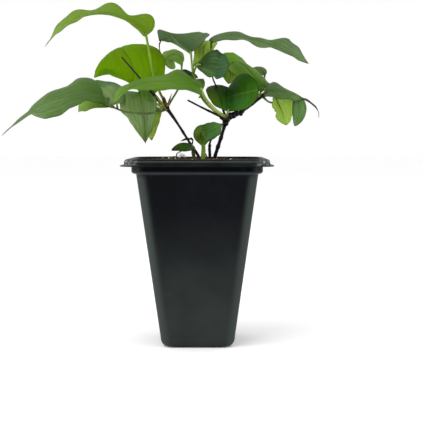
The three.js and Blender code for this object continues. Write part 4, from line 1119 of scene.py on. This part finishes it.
def plasticMaterial(name):
    s = plasticSettings
    material, _, place = startMaterial(name)
    aside, away, height = split(place)
    across, deep = calc("ABSOLUTE", aside), calc("ABSOLUTE", away)

    def rise(none, full, *strengths):
        return ramp(height, none * mm, full * mm, *strengths)

    cloud = noiseOf(place, 38.0, 4.0, 0.6)
    drawn = noiseOf(stretched(place, (420.0, 420.0, 14.0)), 1.0)
    speck = noiseOf(place, 1400.0, 2.0)
    # dust and painted sheen: paler clouds over the rim, and a painted floor reflection paler towards the
    # bottom
    rimDustAndSheen = rise(*s["rimDustAndSheen"]) * ramp(cloud, *s["rimCloud"])
    dustAndSheen = most(rise(*s["dustSheenFade"]) * ramp(cloud, *s["dustSheenCloud"]), rimDustAndSheen)
    skin = tint(ramp(cloud, *s["skinCloud"]), *s["skin"])
    skin = tint(dustAndSheen * 0.75, skin, s["dustAndSheen"])
    # painted shade in the neck's recess, painted highlights on the ledge and along the bead
    for (start, full, still, end), colour, strength in (s["neck"], s["ledge"], s["bead"]):
        skin = tint(rise(start, full) * rise(end, still) * strength, skin, colour)

    # painted highlights: a glint along the body's corners, and speckled pale patches on the flange's corners
    bend = calc("ABSOLUTE", across - deep)
    skin = tint(ramp(bend, *s["edgeReach"]) * rise(122, 118, 0.3, 0.9), skin, s["edgeGlint"])
    # painted highlight: speckled pale patches on the flange's corners
    cornerHighlights = ramp(across + deep, *s["cornerHighlightReach"]) * rise(127.2, 128.2)
    skin = tint(cornerHighlights * ramp(noiseOf(place, 520.0), 0.46, 0.62, 0.1, 0.9), skin, s["cornerHighlight"])
    marks = ramp(noiseOf(stretched(place, (1500.0, 1500.0, 90.0)), 1.0, 1.0), 0.72, 0.78)
    skin = tint(marks * 0.04, skin, s["mark"])
    relief = bumpOf(drawn * 0.5 + speck * 0.25, s["relief"] * mm, 0.5)
    rough = drawn * s["drawnRough"] + (dustAndSheen * s["dustRough"] + s["rough"])
    endMaterial(coat(skin, rough, s["gloss"], relief))
    return material


makePot(potSettings, plasticMaterial("blackPlastic"))
print("pot made")


# soil: a filling with an uneven top, crumbs, bark chips and perlite on it
soilSettings = dict(
    gap=0.35, base=1.7, edge=128.2, crown=130.9, lumpHeight=1.3, reach=42.0, rings=34, lowest=126.2,
    heap=dict(aside=-26, height=1.5, width=15),
    crumb=dict(density=260000.0, small=0.35, large=1.1, squash=0.75, seed=4, faces=1),
    chip=dict(density=16000.0, small=0.9, large=2.3, squash=0.35, seed=11, faces=2),
    perlite=dict(density=5000.0, small=0.4, large=1.1, squash=0.85, seed=23, faces=2),
)


def soilTop(x, y):
    p = soilSettings
    reach = max(abs(x), abs(y)) / (p["reach"] * mm)
    rise = p["crown"] - (p["crown"] - p["edge"]) * reach ** 2.2
    spot = Vector((x, y, 0)) * 90
    rough = noise.fractal(spot, 0.8, 2.1, 4) * p["lumpHeight"] * (1 - 0.5 * reach)
    heap = p["heap"]
    heaped = heap["height"] * math.exp(-((x / mm - heap["aside"]) / heap["width"]) ** 2) * (1 - reach ** 2)
    return (rise + rough + heaped) * mm


def makeSoil(p, material):
    bm = bmesh.new()
    pot = potSettings
    inside = pot["wall"] + p["gap"]
    foot, base, top = pot["foot"], p["base"], pot["neckHalf"] - inside
    profile = [(0.0, base), (foot - p["gap"], base), (foot + 1.35, base + 1.2),
               (pot["bodyFoot"] - inside, pot["footRound"] + 0.1),
               (pot["bodyTop"] - inside, pot["ledge"] - 0.2),
               (top, pot["ledge"] + 2.5), (top, p["edge"] - 1.8)]
    topFirst = len(profile)
    for k in range(p["rings"]):
        profile.append((top * (1 - k / p["rings"]) ** 0.9 - 0.25, p["edge"]))
    profile.append((0.0, p["edge"]))
    rings = loft(bm, profile, 8, 16, lambda height: 0.0)
    for ring in rings[topFirst:]:
        for vert in ring:
            vert.co.z = soilTop(vert.co.x, vert.co.y)
    bmesh.ops.recalc_face_normals(bm, faces=bm.faces)
    piece = meshPiece("potting_soil", bm, material)
    finishPiece(piece, "soil")
    return piece


def crumbTree():
    tree, take = startTree("soilCrumbs", {
        "Density": 1000.0, "Small": 0.0004, "Large": 0.001, "Squash": 0.8, "Rough": 0.3, "Lowest": 0.1,
        "Seed": 1, "Faces": 1, "Material": None})
    facing = split(nodeOut(tree, "GeometryNodeInputNormal"))[2]
    place = nodeOut(tree, "GeometryNodeInputPosition")
    onTop = calc("GREATER_THAN", facing, 0.4) * calc("GREATER_THAN", split(place)[2], take["Lowest"])
    points = nodeOut(tree, "GeometryNodeDistributePointsOnFaces", {
        "Mesh": take["Geometry"], "Selection": onTop, "Density": take["Density"], "Seed": take["Seed"]})
    spin = nodeOut(tree, "FunctionNodeRandomValue", {
        0: (0.0, 0.0, 0.0), 1: (0.6, 0.6, 6.283), "Seed": take["Seed"]}, data_type="FLOAT_VECTOR")
    turned = nodeOut(tree, "FunctionNodeEulerToRotation", {0: spin})
    size = nodeOut(tree, "FunctionNodeRandomValue", {
        2: 0.0, 3: 1.0, "Seed": take["Seed"] + 3.0}, out=1, data_type="FLOAT")
    scale = mix(size ** 2.5, take["Small"], take["Large"])
    shape = combine(scale, scale * 0.8, scale * take["Squash"])
    ball = nodeOut(tree, "GeometryNodeMeshIcoSphere", {"Radius": 1.0, "Subdivisions": take["Faces"]})
    crumbs = nodeOut(tree, "GeometryNodeInstanceOnPoints", {
        "Points": points, "Instance": ball, "Rotation": turned, "Scale": shape})
    crumbs = nodeOut(tree, "GeometryNodeRealizeInstances", {"Geometry": crumbs})
    wobble = noiseOf(place, 900.0, 1.0, 0.5, out="Color")
    offset = vec("SCALE", vec("SUBTRACT", wobble, (0.5, 0.5, 0.5)), take["Rough"] * take["Large"])
    endTree(tree, moved(crumbs, offset=offset), take["Material"])
    return tree


def scatter(name, bed, tree, kind, material):
    values = {"Density": kind["density"], "Small": kind["small"] * mm, "Large": kind["large"] * mm,
              "Squash": kind["squash"], "Rough": 0.9, "Lowest": soilSettings["lowest"] * mm,
              "Seed": kind["seed"], "Faces": kind["faces"], "Material": material}
    finishPiece(grow(name, bed.data.copy(), tree, values), None)


def peatMaterial(name, deep, light, fleck):
    material, _, place = startMaterial(name)
    lumps = noiseOf(place, 320.0, 5.0, 0.65)
    fibre = noiseOf(place, 1300.0, 3.0, 0.7, 0.6)
    skin = tint(ramp(lumps, 0.35, 0.68), deep, light)
    skin = tint(ramp(fibre, 0.6, 0.75, 0.0, 0.6), skin, fleck)
    endMaterial(coat(skin, ramp(lumps, 0.3, 0.7, 0.8, 0.95), 0.25, bumpOf(lumps + fibre * 0.6, 0.0004, 0.8)))
    return material


def perliteMaterial(name, deep, light, stained):
    material, tree, place = startMaterial(name)
    pits = nodeOut(tree, "ShaderNodeTexVoronoi", {"Vector": place, "Scale": 1900.0}, "Distance")
    skin = tint(ramp(pits, 0.05, 0.5), deep, light)
    skin = tint(ramp(noiseOf(place, 420.0, 4.0), 0.52, 0.72, 0.0, stained), skin, "8a7a64")
    endMaterial(coat(skin, ramp(pits, 0.0, 0.6, 0.95, 0.75), 0.3, bumpOf(pits, 0.0003, 0.8)))
    return material


peat = peatMaterial("moistPeat", "241b14", "50442f", "776249")
chipBark = peatMaterial("barkChips", "2a1a10", "5a3d25", "7f6240")
dustyPerlite = perliteMaterial("perliteDusty", "b9b2a4", "f0ede6", 0.55)
bed = makeSoil(soilSettings, peat)
crumbs = crumbTree()
scatter("soil_crumbs", bed, crumbs, soilSettings["crumb"], peat)
scatter("bark_chips", bed, crumbs, soilSettings["chip"], chipBark)
scatter("perlite_crumbs", bed, crumbs, soilSettings["perlite"], dustyPerlite)
print("soil filled")


# the one large perlite grain
grainSettings = dict(
    place=(-12, 16, 132.6), size=(3.2, 2.4, 2.1), turn=0.3, bumps=0.16, pits=0.1, pitReach=0.42,
)


def settle(bm, p):  # from a unit ball at the origin to its place and size
    shape = Matrix.Translation(Vector(p["place"]) * mm) @ Matrix.Rotation(p["turn"], 4, "Y")
    bm.transform(shape @ Matrix.Diagonal([side * mm for side in p["size"]] + [1]))


def makeGrain(p, material):
    bm = bmesh.new()
    bmesh.ops.create_icosphere(bm, subdivisions=5, radius=1.0)
    for vert in bm.verts:
        spot = vert.co.copy()
        bumps = noise.fractal(spot * 1.7 + Vector((3, 1, 7)), 0.9, 2.0, 4) * p["bumps"]
        pit = -p["pits"] * max(0.0, p["pitReach"] - noise.voronoi(spot * 3.1)[0][0]) / p["pitReach"]
        vert.co = spot * (0.94 + bumps + pit)
    settle(bm, p)
    finishPiece(meshPiece("perlite_lump", bm, material), "perlite_grain")


makeGrain(grainSettings, perliteMaterial("perliteWhite", "dadee0", "f7f8f9", 0.08))


# the resting bud at the left node: pointed scales lapped round a core
budSettings = dict(
    place=(-22.9, -10.9, 170.9), size=(1.35, 1.3, 3.9), turn=-0.22, core=0.8, rows=4, perRow=3,
    lowest=-0.95, rowStep=0.34, rowTurn=0.3, scaleLength=1.05, spread=1.15, skins=(1.0, 0.94),
    girth=0.86, flare=0.1, lap=0.03, long=9, wide=6,
)


def budScale(bm, p, row, middle):
    long, wide = p["long"], p["wide"]
    skins = []
    for layer in p["skins"]:
        grid = []
        for i in range(long + 1):
            share = i / long
            level = min(0.995, p["lowest"] + row * p["rowStep"] + share * p["scaleLength"])
            girth = math.sqrt(max(0.0, 1 - level * level))
            spread = p["spread"] * (1 - share) ** 0.55 * (0.55 + 0.45 * min(1, share * 5))
            out = (p["girth"] + p["flare"] * share ** 2 + p["lap"] * (3 - row)) * layer
            angles = [middle + spread * (2 * j / wide - 1) for j in range(wide + 1)]
            grid.append([bm.verts.new((out * girth * math.cos(angle), out * girth * math.sin(angle),
                                       level * (0.9 + 0.1 * out))) for angle in angles])
        skins.append(grid)
    upper, lower = skins
    for i in range(long):
        for j in range(wide):
            bm.faces.new((upper[i][j], upper[i][j + 1], upper[i + 1][j + 1], upper[i + 1][j]))
            bm.faces.new((lower[i][j], lower[i + 1][j], lower[i + 1][j + 1], lower[i][j + 1]))
    rim = ([(0, j) for j in range(wide)] + [(i, wide) for i in range(long)]
           + [(long, j) for j in range(wide, 0, -1)] + [(i, 0) for i in range(long, 0, -1)])
    for n, (i, j) in enumerate(rim):
        a, b = rim[(n + 1) % len(rim)]
        bm.faces.new((upper[a][b], upper[i][j], lower[i][j], lower[a][b]))


def makeBud(p, material):
    bm = bmesh.new()
    bmesh.ops.create_uvsphere(bm, u_segments=24, v_segments=16, radius=p["core"])
    for row in range(p["rows"]):
        for k in range(p["perRow"]):
            budScale(bm, p, row, (k + 0.5 * (row % 2)) / p["perRow"] * 2 * math.pi + row * p["rowTurn"])
    bmesh.ops.remove_doubles(bm, verts=bm.verts, dist=1e-5)
    settle(bm, p)
    finishPiece(meshPiece("left_bud_scales", bm, material), "left_bud")


makeBud(budSettings, barkMaterial("budScales", "4a2812", "704420", "86683a"))
print("grain and bud made")


# floor and light
lightSettings = dict(
    world=1.0,
    floor=("fcfcfc", "ffffff"),
    lamps=dict(
        key=dict(place=(-0.45, -0.6, 1.1), size=0.6, power=4.2),
        left=dict(place=(-0.85, -0.3, 0.18), size=0.45, power=6.2),
        right=dict(place=(0.85, -0.3, 0.18), size=0.45, power=4.4),
    ),
    aim=(0, 0, 0.15),
)


def makeLamp(name, light, aim):
    data = bpy.data.lights.new(name, "AREA")
    data.size = light["size"]
    data.energy = light["power"]
    lamp = bpy.data.objects.new(name, data)
    lamp.location = light["place"]
    lamp.rotation_euler = (Vector(aim) - Vector(light["place"])).to_track_quat("-Z", "Y").to_euler()
    scene.collection.objects.link(lamp)


def makeStage(settings):
    bm = bmesh.new()
    bmesh.ops.create_grid(bm, x_segments=1, y_segments=1, size=6.0)
    material, _, place = startMaterial("paleFloor")
    endMaterial(coat(tint(noiseOf(place, 3.0), *settings["floor"]), 0.85, 0.1))
    meshPiece("studioFloor", bm, material, smooth=False)
    world = bpy.data.worlds.new("studioWorld")
    world.use_nodes = True
    sky = world.node_tree.nodes["Background"]
    sky.inputs["Color"].default_value = (1, 1, 1, 1)
    sky.inputs["Strength"].default_value = settings["world"]
    scene.world = world
    for name, light in settings["lamps"].items():
        makeLamp(name + "Light", light, settings["aim"])
    scene.view_settings.view_transform = "Standard"


makeStage(lightSettings)
print("stage lit")
